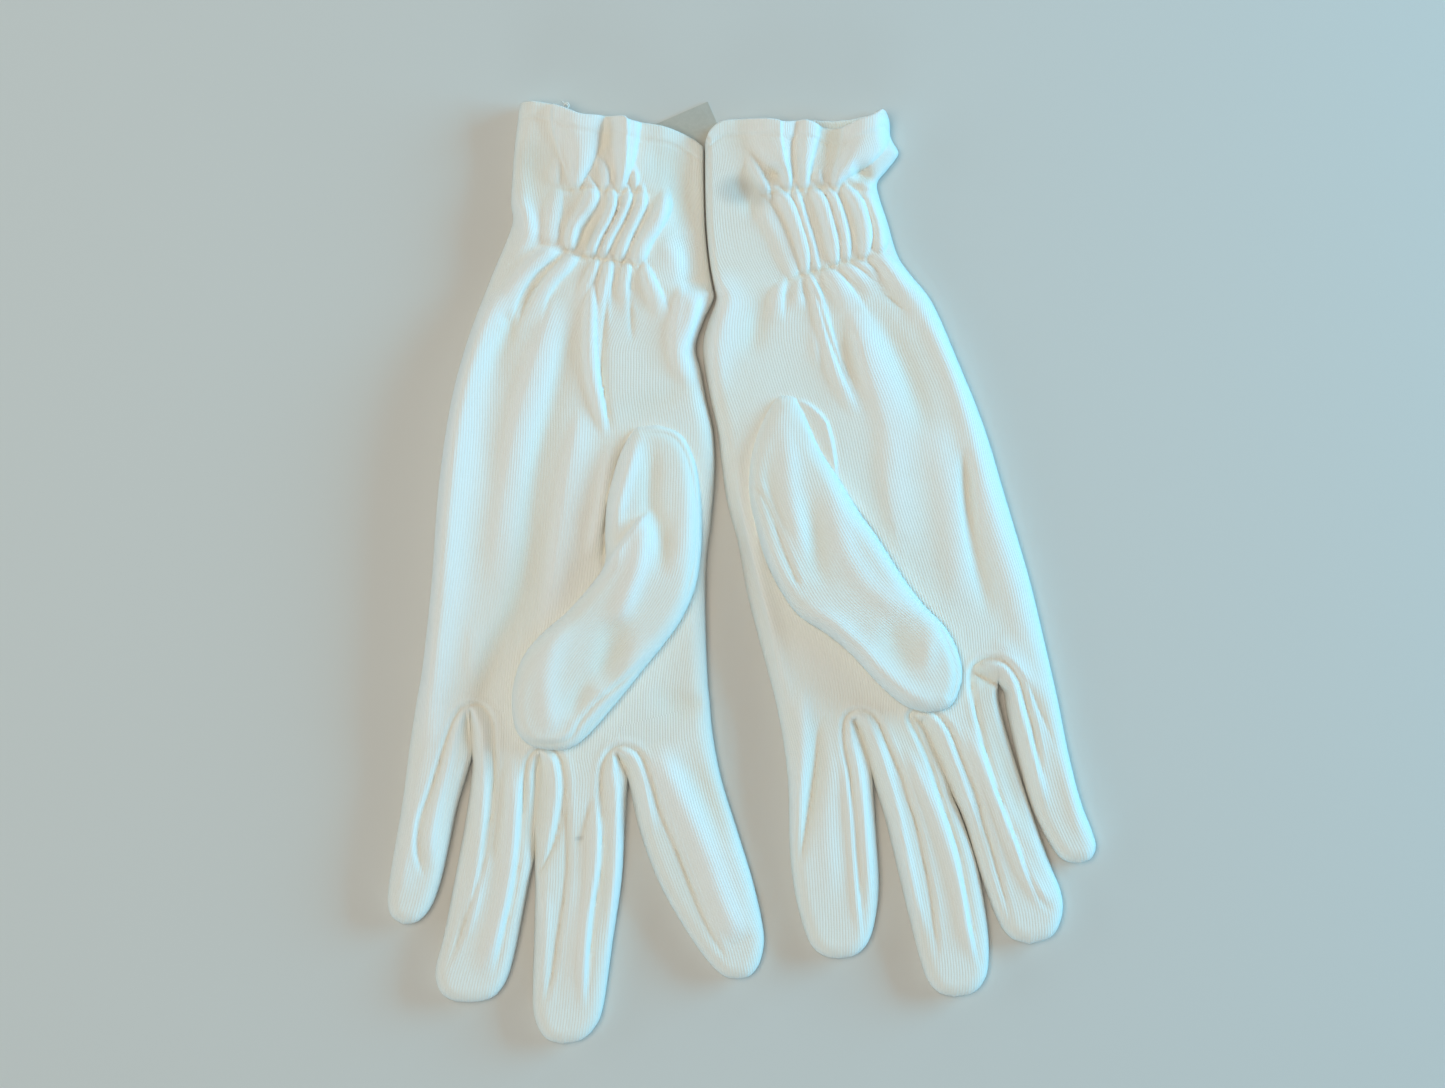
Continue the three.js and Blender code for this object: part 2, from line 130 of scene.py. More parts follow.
# Rails run down the sides of a piece.  The hand's go from the rim to the root of the fingers.
RAILS = {
    "left": {
        "hand": (
            [(-64.6, 136), (-66.2, 124), (-67.3, 108), (-67, 101), (-73, 86), (-80, 67.5), (-85, 48.5),
             (-88.5, 24), (-90.4, -2.5), (-93, -27), (-94.5, -36)],
            [(-11.1, 124), (-11, 112), (-10.6, 100), (-9.6, 90), (-8.5, 83), (-8.2, 79.6),
             (-11.2, 73), (-13.5, 65.5), (-12, 58.5), (-10.4, 50), (-8.4, 41), (-7.9, 29.5),
             (-9, 15), (-10.4, 3.5), (-10.6, -14), (-10, -31.5), (-9.4, -38)],
        ),
        "little": (
            [(-94.5, -36), (-96.5, -48.5), (-99, -67.5), (-102, -85), (-103.3, -95), (-102.3, -100.3),
             (-98.8, -102.8)],
            LEFT_CROTCHES[0] + [(-80, -58.5), (-83, -68.5), (-85.5, -80.5), (-88, -91),
             (-90.8, -98), (-94.6, -102), (-98.8, -102.8)],
        ),
        "ring": (
            LEFT_CROTCHES[0] + [(-78.7, -58.5), (-80.5, -72), (-84, -91), (-87, -106.5),
             (-89.4, -116.5), (-88, -122.4), (-84.4, -125), (-80, -125.6)],
            LEFT_CROTCHES[1] + [(-62.4, -92), (-65.5, -108),
             (-68.4, -118.5), (-72, -123.6), (-76, -125.2), (-80, -125.6)],
        ),
        "middle": (
            LEFT_CROTCHES[1] + [(-60.3, -92), (-60.6, -106), (-61, -124),
             (-60, -131.6), (-57, -136.2), (-52.3, -137.7)],
            LEFT_CROTCHES[2] + [(-33.5, -64), (-34, -72), (-35, -89.5), (-37.5, -106.5),
             (-40.4, -126.5), (-43, -133), (-47, -136.6), (-52.3, -137.7)],
        ),
        "index": (
            LEFT_CROTCHES[2] + [(-32.4, -64), (-29.5, -76.5), (-23.5, -92), (-15, -106.5),
             (-9, -114.6), (-5, -118), (-1, -118.8)],
            [(-9.4, -38), (-8.5, -47.5), (-6, -60.5), (-1.5, -75), (3, -89.5), (6, -102.5), (6.4, -109),
             (5, -114.5), (2.4, -117.8), (-1, -118.8)],
        ),
        "thumb": (
            [(-27.8, 42.4), (-31.4, 41.2), (-35, 35), (-37.2, 28.8), (-39.2, 20.6), (-39.8, 11.3),
             (-39.7, 2.8), (-43.3, -3.2), (-50.6, -11.5), (-57.8, -17.7), (-63, -24), (-65.8, -31.2),
             (-66.6, -39.4), (-65, -46.5), (-61, -50.3), (-56.3, -51.4)],
            [(-27.8, 42.4), (-23.7, 42.4), (-17.5, 39.7), (-13.6, 32), (-12, 22.6), (-11.6, 14.4),
             (-11.8, 6), (-13.4, -4.2), (-17.5, -13.6), (-22.4, -20.6), (-27.8, -27.2), (-35, -36.2),
             (-42.3, -44.8), (-47.4, -49.6), (-51.6, -51.4), (-56.3, -51.4)],
        ),
    },
    "right": {
        "hand": (
            [(-10.8, 124.5), (-10.7, 112), (-10.3, 100), (-9.3, 90), (-8, 83), (-7.6, 79), (-9.9, 72.6),
             (-11.4, 66), (-10.6, 58), (-9, 49.5), (-7, 40.5), (-6, 32), (-4.2, 20), (-1, 8), (1.5, -6),
             (5, -19.5), (9.5, -36)],
            [(43, 131), (43.4, 126.4), (45.6, 122.4), (44.6, 120), (41.9, 116.6), (39.4, 113.2),
             (40.2, 108.6), (42.4, 102), (45.3, 92.4), (49.2, 86.6), (55.4, 78.6), (62.5, 62.5),
             (70.5, 42.5), (77, 21), (83.5, -1), (87.2, -16)],
        ),
        "index": (
            [(9.5, -36), (12, -48.5), (13.6, -63), (14, -80.5), (15.5, -93.5), (18.3, -104.5),
             (20.8, -109.6), (24.4, -112.2), (28.3, -112.8)],
            RIGHT_CROTCHES[0] + [(38.5, -66), (39.2, -76), (40, -91), (38.8, -102),
             (36.6, -108.4), (33, -111.8), (28.3, -112.8)],
        ),
        "middle": (
            RIGHT_CROTCHES[0] + [(39.6, -65), (41.8, -72), (45, -85), (48.5, -99.5),
             (52, -113), (54.4, -119.4), (57.6, -122.8), (62, -124)],
            RIGHT_CROTCHES[1] + [(64.2, -72), (68.5, -85), (71.5, -101),
             (72, -113), (70.8, -119), (67.4, -122.8), (62, -124)],
        ),
        "ring": (
            RIGHT_CROTCHES[1] + [(65, -73.2), (70, -89.5), (74.6, -101.5),
             (78.6, -106.8), (84, -108.6)],
            [(74.6, -32.4), (74.6, -36), (75.6, -41), (78.6, -51.6), (84.4, -69.7), (89.5, -84.2),
             (93.2, -94), (93.3, -100.6), (90.4, -106.3), (84, -108.6)],
        ),
        "little": (
            [(74.6, -32.4), (76.4, -35.4), (77.2, -41), (80, -53), (83.6, -66), (87.2, -74.8),
             (91.4, -81.8), (94.6, -84.4), (98.5, -85)],
            [(87.2, -16), (92, -37), (95, -52), (98.5, -66), (102.4, -76.5), (103.2, -80.5),
             (101.6, -83.8), (98.5, -85)],
        ),
        "thumb": (
            [(13, 51.2), (10.4, 50.6), (8.0, 47.6), (4.7, 40.6), (2.4, 32), (2, 22.6), (3.9, 13.3),
             (7, 3), (11.1, -5.3), (16.3, -12.5), (24.6, -18), (31.8, -24), (39.1, -32), (46.3, -38.2),
             (52.5, -40.4), (57.2, -40.2)],
            [(13, 51.2), (15.6, 50.4), (18.0, 46.4), (22.5, 36.1), (27.7, 27.8), (33.9, 17.5),
             (39.1, 10.2), (46.3, -1.2), (52.5, -9.4), (58.7, -15.8), (62.4, -22.9), (63.7, -30.1),
             (62, -36.2), (60, -39), (57.2, -40.2)],
        ),
    },
}
FINGERS = {
    "left": ("little", "ring", "middle", "index"),
    "right": ("index", "middle", "ring", "little"),
}
# Where the hand's cloth hands over to the fingers, from left to right: the two outer ends lie on
# the rails and the three between stand a little above the crotches.
ROOT_LINE = {
    "left": [(-94.5, -36), (-79.2, -35.5), (-58.4, -46.5), (-35.6, -45), (-9.4, -38)],
    "right": [(9.5, -36), (33.2, -36.5), (52.6, -36.5), (74, -23), (87.2, -16)],
}
RIM = {
    "left": [(-64.6, 136), (-60, 136), (-54, 134.8), (-49.5, 133.2), (-46, 132), (-40, 131.7),
             (-34.6, 131.4), (-31.5, 130.2), (-26, 129.4), (-21, 128.4), (-16, 126.4), (-11.1, 123.4)],
    "right": [(-10.8, 124.5), (-9.4, 127.4), (-6, 130.2), (0, 130.8), (8, 130.6), (12.7, 129.8),
              (17.6, 130.4), (21, 129.6), (24.6, 128.2), (29.5, 128.6), (33.3, 130.2), (38, 131.8),
              (41, 133.4), (43, 131)],
}
# How far the back's rim stands above the palm's at each x.
BACK_RISE = {
    "left": [(-66, 0), (-50, 0.2), (-30, 0.3), (-12, 0)],
    "right": [(-11, 0), (0, 0.3), (12.7, 1.2), (17.6, 0.6), (24.6, 3), (29.5, 2.8), (33.3, 1.6),
              (38, 1.2), (43, 0)],
}

# Every fold is a line of (x, y, height, half width), in millimetres.  LEAVES are round rolls that
# press on each other, RAISED the edges of overlying layers, ELASTIC_ROWS the shirred hollows, SOFT
# and DRAPES soft swells and hollows, and CREASES sharp hollows.
LEAVES = {
    "left": [
        [(-53.7, 110.8, 0.3, 1.56), (-54.5, 105.9, 1.5, 2.6), (-55.4, 101.1, 1.5, 2.6),
         (-55.4, 96.8, 1.5, 2.6), (-54.7, 94.1, 0.3, 1.56)],
        [(-53.2, 120.4, 0.18, 0.96), (-54, 117.1, 0.9, 1.6), (-54.2, 114.2, 0.9, 1.6),
         (-53.8, 112.2, 0.18, 0.96)],
        fold_rows(2.6, 2.3, (-44.6, 113.3), (-43.4, 109.1), (-45.7, 104.3), (-48.3, 100.4),
                  (-49.5, 96.5), (-50.1, 93), first=(0.78, 1.4), last=(0.78, 1.3)),
        fold_rows(2.5, 1.6, (-38.2, 112.1), (-37.4, 107.4), (-39.1, 102.3), (-41.5, 98),
                  (-43.4, 93.6), (-44.3, 91.3), first=(0.75, 1), last=(0.75, 1)),
        fold_rows(2.3, 1.5, (-33.4, 111.5), (-33.2, 108.1), (-35.1, 103), (-37.8, 98), (-39.7, 93.9),
                  (-40.6, 91.1), first=(0.69, 1), last=(0.69, 1)),
        fold_rows(2.3, 1.7, (-29.2, 111.6), (-29, 107.3), (-31, 102.3), (-33.3, 97.5), (-34.9, 93.1),
                  (-36, 90.1), first=(0.69, 1.1), last=(0.69, 1.1)),
        fold_rows(2.4, 2.5, (-22.2, 110.1), (-22.8, 106.4), (-24.9, 101.6), (-27.9, 96.8),
                  (-30, 92.2), (-30.7, 89), first=(0.48, 1.6), last=(0.72, 1.2)),
        [(-52.2, 94.3, 0.72, 1.32), (-56.6, 92.2, 2.4, 2.49), (-61.5, 88.3, 2.4, 2.75),
         (-66.3, 82.3, 1.64, 3.18), (-69.7, 76, 0.71, 3.78), (-72.1, 70.2, 0, 4.56)],
        [(-47.2, 93.1, 0.6, 1.21), (-50.8, 89.5, 2, 2.28), (-55.2, 85.4, 2, 2.52),
         (-58.6, 80.8, 1.36, 2.91), (-60.8, 75.5, 0.59, 3.47), (-62.2, 70.2, 0, 4.18)],
        [(-42.1, 91.9, 0.45, 0.77), (-43, 88.1, 1.5, 1.48), (-44.7, 83.7, 1.34, 1.72),
         (-46.2, 78.9, 0.58, 2.11), (-47, 75.5, 0, 2.66)],
        [(-38.4, 91.7, 0.66, 0.99), (-39, 86.6, 2.2, 1.9), (-40, 81.8, 1.96, 2.21),
         (-40.8, 76.5, 0.85, 2.71), (-41.2, 70.2, 0, 3.42)],
        [(-33, 90.7, 0.57, 0.88), (-33.6, 87.1, 1.9, 1.69), (-34.2, 82.7, 1.69, 1.96),
         (-33.3, 77.9, 0.74, 2.41), (-32.7, 73.6, 0, 3.04)],
        [(-28.7, 89.8, 0.57, 1.04), (-27.4, 85.6, 1.9, 2.01), (-25.4, 80.8, 1.69, 2.33),
         (-23.6, 75.5, 0.74, 2.86), (-22.8, 72.1, 0, 3.61)],
        [(-47.5, 134, 2.8, 7.6), (-47, 128.7, 3, 6.8), (-46.4, 123.8, 3.1, 5.2), (-46.6, 119, 2.9, 3.6),
         (-47.6, 114.6, 2.2, 2.2), (-48.3, 110.7, 0.5, 1)],
        [(-42.1, 120.2, 0.17, 0.84), (-40.1, 117.1, 1.7, 1.4), (-39.5, 113.7, 1.7, 1.4),
         (-40.4, 110.5, 0.51, 0.84)],
        [(-33.5, 134.9, 2.8, 4.4), (-33.5, 130.1, 2.9, 4.2), (-33.7, 125.3, 2.9, 3.8),
         (-33.8, 120.4, 2.8, 3), (-34.4, 115.6, 2.4, 2.2), (-35.7, 109.7, 0.6, 1.2)],
        [(-32.2, 119, 0.12, 0.72), (-31, 114.6, 1.2, 1.2), (-31.3, 110.5, 0.36, 0.72)],
        [(-43.5, 84.7, 0.3, 1.4), (-43.8, 78.9, 1.8, 1.8), (-44.2, 67.3, 2, 2.1),
         (-43.5, 57.6, 1.9, 2.2), (-41.6, 48.9, 1.6, 2), (-40, 40.2, 0.2, 1.4)],
    ],
    "right": [
        [(3.3, 109.3, 0.24, 2), (6.9, 104, 1.2, 2.8), (10.5, 97.2, 1.2, 2.8), (13.4, 90.5, 1.2, 2.8),
         (15, 85.2, 0.48, 1.4)],
        [(9.7, 111.4, 0.72, 1.1), (13.4, 106.4, 2.4, 2.2), (16, 99.9, 2.4, 2.2), (17.9, 93.1, 2.4, 2.2),
         (18.5, 86.7, 0.72, 1)],
        [(15.1, 111.7, 0.57, 1), (16.6, 106.9, 1.9, 1.4), (18.5, 100.6, 1.9, 1.4),
         (20.5, 94.1, 1.9, 1.4), (21.9, 87.5, 0.57, 1)],
        [(20.1, 111.8, 0.75, 1.1), (23.2, 106.9, 2.5, 2.2), (25.1, 101.1, 2.5, 2.2),
         (26.5, 95.1, 2.5, 2.2), (27.1, 89.1, 0.75, 1)],
        [(24.5, 112.1, 0.69, 1.1), (27.1, 106.9, 2.3, 1.8), (29.1, 101.1, 2.3, 1.8),
         (30.1, 95.6, 2.3, 1.8), (30.5, 90.3, 0.69, 1)],
        [(29.6, 112.3, 0.78, 1.2), (33.3, 106.9, 2.6, 2.3), (35.2, 101.6, 2.6, 2.3),
         (35.8, 96.3, 2.6, 2.3), (35.4, 90.7, 0.78, 1.1)],
        [(35.5, 110.3, 0.38, 1.4), (38.3, 105.5, 1.9, 2.2), (40, 100.1, 1.9, 2.2),
         (40.1, 95.3, 1.9, 2.2), (39.4, 92.2, 0.57, 1.2)],
        [(12.2, 84.7, 0.39, 1.04), (10.5, 80.8, 1.3, 2.09), (9.6, 76, 0.71, 2.66), (9.1, 72.1, 0, 3.61)],
        [(16.4, 85.3, 0.36, 0.83), (16.2, 80.3, 1.07, 1.84), (15.9, 75.5, 0, 2.85)],
        [(19.5, 86.2, 0.6, 0.83), (21.3, 81.8, 2, 1.65), (22.6, 76.9, 1.1, 2.1), (24.2, 70.2, 0, 2.85)],
        [(24.3, 87.7, 0.6, 1.43), (27.5, 83.7, 2, 2.86), (30.8, 77.9, 1.1, 3.64), (34.2, 70.2, 0, 4.94)],
        [(28.8, 89.3, 0.48, 0.94), (32.5, 86.9, 1.6, 1.87), (36.3, 83.5, 0.88, 2.38),
         (39.2, 79.7, 0, 3.23)],
        [(32, 90.9, 0.45, 0.66), (36.2, 88.1, 1.34, 1.47), (40, 84.4, 0, 2.28)],
        [(36.9, 92.7, 0.69, 1.54), (42.9, 88.1, 2.3, 3.08), (49.2, 80.3, 1.26, 3.92),
         (54.5, 71.1, 0, 5.32)],
        [(8.6, 134.9, 2.6, 8), (8.6, 129.1, 2.7, 7.6), (9.1, 124.3, 2.8, 6), (11, 119.5, 2.7, 3.6),
         (13.1, 114.6, 2, 1.8), (13.3, 110.2, 0.4, 1)],
        [(1.4, 121.4, 0.15, 1.02), (3.8, 116.6, 1.5, 1.7), (6.2, 112.2, 1.5, 1.7),
         (7.8, 108.4, 0.45, 1.02)],
        [(19.3, 134.9, 2.6, 4.2), (19.2, 129.6, 2.7, 4), (18.9, 125.3, 2.8, 3.4),
         (18.5, 120.4, 2.7, 2.6), (18.2, 115.6, 2.3, 1.8), (18.2, 110.5, 0.6, 1)],
        [(22.4, 117.1, 0.12, 0.78), (22.2, 114.6, 1.2, 1.3), (23.6, 112, 0.36, 0.78)],
        [(36.6, 134.9, 2.6, 7.4), (36.2, 126.7, 2.8, 6.6), (34.7, 122.4, 2.9, 5),
         (31.3, 118.5, 2.8, 3.4), (28, 114.6, 2.2, 2), (27.1, 110.3, 0.6, 1.1)],
        [(33.7, 112.7, 0.09, 1.08), (36.6, 111.7, 0.9, 1.8), (38.6, 110.8, 0.27, 1.08)],
        [(20.5, 82.7, 0.3, 1.3), (21.8, 78.4, 1.6, 1.6), (24.4, 69.2, 1.9, 2.2), (26.7, 60.5, 1.7, 2.6),
         (29.8, 52.8, 1.2, 2.8), (33.6, 45.5, 0.1, 2.4)],
    ],
}
RAISED = {
    "left": [
        [(-35.2, 110.8, 0.2, 3.2), (-33.6, 115.6, 0.9, 3.2), (-33, 120.4, 1.2, 3.2),
         (-32.8, 125.3, 1.3, 3.2), (-32.7, 129.6, 1.3, 3.2), (-33.5, 134, 1.3, 3.2)],
        [(-55.1, 134, 1.4, 4), (-54.9, 129.4, 1.4, 4), (-53.7, 124.8, 1.2, 4), (-52.2, 119.5, 0.8, 4),
         (-50.4, 114.2, 0.6, 4), (-48.6, 110.5, 0.1, 4)],
    ],
    "right": [
        [(14.2, 110.3, 0.2, 3), (14, 114.2, 0.8, 3), (12.7, 119, 1, 3), (11.6, 124.8, 1.1, 3),
         (11.4, 129.4, 1.1, 3), (11.3, 134, 1.1, 3)],
        [(28.7, 134, 1.1, 4), (29, 127.7, 1.1, 4), (27.9, 121.4, 1, 4), (26.6, 116.6, 0.8, 4),
         (26.8, 111.3, 0.2, 4)],
    ],
}
ELASTIC_ROWS = {
    "left": [
        [(-53.7, 111.5, -0.3, 0.9), (-49.9, 110.8, -0.9, 0.9), (-46, 111.7, -1.1, 0.9),
         (-41.7, 110.8, -1.1, 0.9), (-38.3, 110.8, -1.1, 0.9), (-34.9, 110.3, -1.1, 0.9),
         (-31, 110.5, -1, 0.9), (-26.7, 109.8, -0.3, 1)],
        [(-54.7, 93.6, -0.3, 0.9), (-51.3, 93.4, -0.9, 0.8), (-47.9, 92.2, -1.1, 0.8),
         (-44.6, 91.4, -1.2, 0.8), (-40.9, 91, -1.2, 0.8), (-36.8, 90.2, -1.2, 0.8),
         (-33, 89.8, -1.1, 0.8), (-29.6, 89, -0.7, 0.9), (-26.7, 88.5, -0.2, 1)],
    ],
    "right": [
        [(4.3, 108.8, -0.3, 1), (8.1, 109.8, -0.8, 0.9), (12, 110.8, -1.1, 0.9),
         (15.9, 110.8, -1.1, 0.9), (19.2, 111.3, -1.1, 0.9), (23.1, 111.7, -1.1, 0.9),
         (26.5, 111.3, -1.1, 0.9), (30.8, 112.2, -1, 0.9), (35.2, 110.8, -0.3, 1)],
        [(11, 84.2, -0.3, 1), (14.9, 85.2, -0.8, 0.8), (18.3, 86.6, -1.1, 0.8), (22.6, 87.6, -1.2, 0.8),
         (27, 89, -1.2, 0.8), (30.8, 90.2, -1.2, 0.8), (35.7, 91.2, -0.9, 0.8), (40, 92.2, -0.3, 1)],
    ],
}
SOFT = {
    "left": [
        [(-48.9, 74, 0, 2.5), (-50.4, 64.4, -0.7, 3), (-54.7, 49.9, -0.9, 3.4), (-58.1, 36.3, -1, 3.6),
         (-60.5, 20.9, -1.1, 3.8), (-62, 4.4, -1.2, 4), (-65.3, -11, -1.2, 4), (-71.1, -22.6, -1.2, 3.8),
         (-74.5, -33.3, -1.1, 3.4), (-75, -42, 0, 3)],
        [(-70.2, 75.5, 0, 1.6), (-67.3, 71.1, -0.9, 2.2), (-70.2, 62.4, -0.6, 3), (-71.6, 53.7, 0, 3)],
        fold_rows(-0.5, 4, (-37.3, 46), (-29.6, 47.9), (-21.8, 50.8), (-17, 57.6)),
        [(-22.6, 97, 0, 3), (-19.4, 91.4, 1, 3.2), (-18.5, 85, 0.7, 3), (-20.6, 80.6, 0, 3)],
        [(-16.4, 81.6, 0, 2.6), (-13.7, 76.9, 1.5, 2.8), (-14.4, 70.2, 1.3, 2.6), (-15.9, 64, 0, 2.6)],
        [(-26.8, -34.2, 0, 4), (-19.5, -38.4, -0.8, 4.4), (-13.3, -38.4, -0.5, 3), (-11.3, -38.4, 0, 3)],
        [(-65.6, 110.3, 0, 2.2), (-62.9, 104, 1.3, 2.6), (-61.7, 99.2, 1.5, 2.6), (-62.9, 95.3, 1, 2.6),
         (-67, 90.5, 0, 2.6)],
        [(-60, 128, 0, 4), (-60.5, 120, -1, 5), (-60, 112, -0.8, 4), (-59, 105, 0, 3)],
        [(-27, 124, 0, 3), (-22, 118, -1.2, 6), (-18, 108, -1.2, 6), (-17, 98, 0, 4)],
        [(-42.1, 105, 0, 2), (-44.6, 101.1, -1.1, 2.2), (-46.5, 96.3, -1.1, 2), (-47.5, 91.4, 0, 1.6)],
        [(-39.2, 128.2, -0.8, 2.4), (-39.7, 125.3, -1, 2.2), (-40.9, 121.9, -0.6, 1.6),
         (-41.7, 120, 0, 1.2)],
    ],
    "right": [
        [(7.2, 81.8, 0, 3), (4.3, 71.1, -0.7, 3), (1.4, 61.5, 0, 3)],
        [(21.2, 72.1, 0, 1.6), (21.5, 65.3, 0.6, 1.8), (21.8, 58.6, 0, 1.6)],
        [(29.4, 71.1, 0, 2.4), (31.3, 61.5, -0.7, 2.4), (34.2, 51.8, 0, 2.4)],
        [(36.2, 77.9, 0, 3), (42, 69.2, -0.9, 3.6), (46.8, 60.5, -1, 3.8), (50.7, 49.9, -0.8, 4),
         (54.5, 38.3, 0, 4)],
        [(49.7, 78.9, 0, 3), (55.5, 70.2, 1, 3.2), (59.8, 61.5, 1.1, 3.4), (63.2, 51.8, 1, 3.4),
         (66.1, 40.2, 0.9, 3.4), (69, 27.6, 0.9, 3.4), (72.9, 13.1, 0.8, 3.4), (76.8, -1.4, 0.7, 3.4),
         (80.6, -15.9, 0.5, 3.4), (84.5, -28.4, 0, 3.4)],
        [(55.5, 44.1, 0, 5), (57.6, 34.4, 0.7, 5), (59.8, 22.8, 0.9, 4.5), (61.5, 8.3, 0.9, 4.5),
         (62.7, -2.3, 0.6, 4), (63.2, -10.1, 0, 4)],
        [(64.2, 36.3, 0, 1.6), (65.2, 28.6, -1.2, 1.8), (65.7, 18.9, -1.3, 1.8), (67.3, 7.3, -1, 2),
         (70, -5.2, -0.6, 2.2), (71.9, -13.9, 0, 2.4)],
        fold_rows(0.8, 3, (72.9, -18.8), (77.7, -24.6), (82.6, -31.3), (86.4, -38.1)),
        [(12, -15.9, 0, 4), (19.7, -22.6, 0.6, 5), (28.4, -29.4, 0.5, 5), (36.2, -35.2, 0, 5)],
        [(0, 118, 0, 4), (1, 112, -1.2, 3.6), (3.4, 107, -1, 3), (6, 103, 0, 3)],
        [(9.1, 118.5, 0, 1.8), (9.3, 115.6, -1.5, 2.2), (10.1, 112.7, 0, 1.8)],
        [(31.3, 117.1, 0, 1.6), (34.2, 116.1, -1.8, 2.2), (36.6, 114.6, -1.2, 2), (38.1, 112.7, 0, 1.6)],
        [(25.3, 131.1, -0.8, 2.6), (25.3, 125.3, -1, 2.4), (24.8, 120.4, -0.7, 2),
         (24.3, 116.6, 0, 1.4)],
    ],
}
DRAPES = {
    "left": [
        [(-70.2, 81.8, 0, 4), (-74.2, 75, 1.4, 5), (-76.9, 68.2, 2.1, 6), (-80.8, 57.6, 2.7, 7),
         (-83.2, 46, 2.9, 7.5), (-85.2, 33.4, 2.9, 8), (-86.8, 18.9, 2.8, 8), (-88.1, 4.4, 2.6, 8),
         (-89, -10.1, 2.4, 8), (-90.3, -29.4, 1.9, 7), (-91.4, -42.9, 1, 6), (-91.9, -51.6, 0, 5)],
        [(-53.7, 79.8, 0, 4), (-55.7, 73.1, 1, 5.5), (-58.1, 65.3, 1.5, 7), (-62, 52.8, 1.8, 8),
         (-65.8, 38.3, 1.5, 8), (-68.1, 23.8, 1, 8), (-70.2, 9.3, 0.8, 8), (-72.1, -6.2, 0, 8)],
        [(-47, 47.9, 0, 3), (-48.4, 38.3, 1, 5), (-50.4, 26.7, 1.3, 6), (-52.3, 13.1, 1.4, 6.5),
         (-54.2, -0.4, 1.3, 6.5), (-56.2, -12, 0.8, 6), (-57.6, -19.7, 0, 5)],
        [(-17, 84.7, 0, 3), (-18.2, 76.9, 1.3, 4), (-19.1, 67.3, 1.4, 5), (-18, 59.5, 1, 5),
         (-15.1, 53.7, 0, 4)],
        [(-77.9, -13, 0, 4), (-78.4, -24.6, 0.5, 5), (-77.4, -35.2, 0, 4)],
    ],
    "right": [
        [(-6.4, 88.5, 0, 4), (-5.8, 79.8, 1.3, 6), (-6.8, 71.1, 1.3, 6), (-7.8, 59.5, 0.9, 5),
         (-7.3, 48.9, 0, 4)],
        [(31.8, 76, 0, 4), (34.2, 68.2, 1.5, 6), (37.1, 58.6, 1.7, 7.5), (40.5, 48.9, 1.4, 8),
         (43.4, 38.3, 0.8, 8), (45.8, 27.6, 0, 8)],
        [(40, 42.1, 0, 5), (42, 30.5, 0.8, 6), (43.9, 17, 0.8, 6), (47.8, 3.5, 0, 6)],
        [(-1.5, 36.3, 0, 2.4), (0.4, 17, 0.7, 3), (4.3, 0.6, 0.8, 3), (8.1, -13.9, 0.7, 3),
         (11, -29.4, 0.5, 3.4), (13.9, -42.9, 0, 4)],
    ],
}
CREASES = {
    "left": [
        [(-77.4, 74, 0, 1), (-78.4, 71.1, -0.6, 1), (-82.6, 57.6, -0.9, 1), (-85.1, 44.1, -0.9, 1),
         (-86.9, 28.6, -0.8, 1.1), (-88.4, 13.1, -0.5, 1.2), (-89.3, -0.4, 0, 1.3)],
        [(-38.1, 88.5, 0, 0.8), (-39.4, 76.9, -0.9, 0.9), (-40.2, 67.3, -1, 0.9), (-40.6, 57.6, -1.1, 1),
         (-39.4, 47.9, -1, 1), (-38.1, 41.2, 0, 1.1)],
        [(-32.5, 85.6, 0, 0.7), (-32.3, 79.8, -1, 0.8), (-32.1, 72.1, -0.8, 0.8), (-31.7, 66.3, 0, 1)],
        [(-51.8, 93.4, 0, 0.9), (-53.7, 90, -0.9, 1), (-57.6, 86.1, -1.2, 1.1), (-61.2, 81.3, -1.3, 1.2),
         (-63.7, 76, -1, 1.3), (-65.3, 70.7, 0, 1.4)],
    ],
    "right": [
        [(20.7, 82.7, 0, 0.8), (22, 78.9, -0.8, 0.9), (25.1, 68.2, -1.1, 1), (29, 58.6, -1.1, 1),
         (33.1, 49.9, -0.5, 1.1), (35.2, 46, 0, 1.2)],
        [(39.1, 82.7, 0, 0.9), (43.4, 79.1, -0.9, 0.9), (46.4, 76.8, -0.5, 1), (48.7, 75, 0, 1.1)],
    ],
}
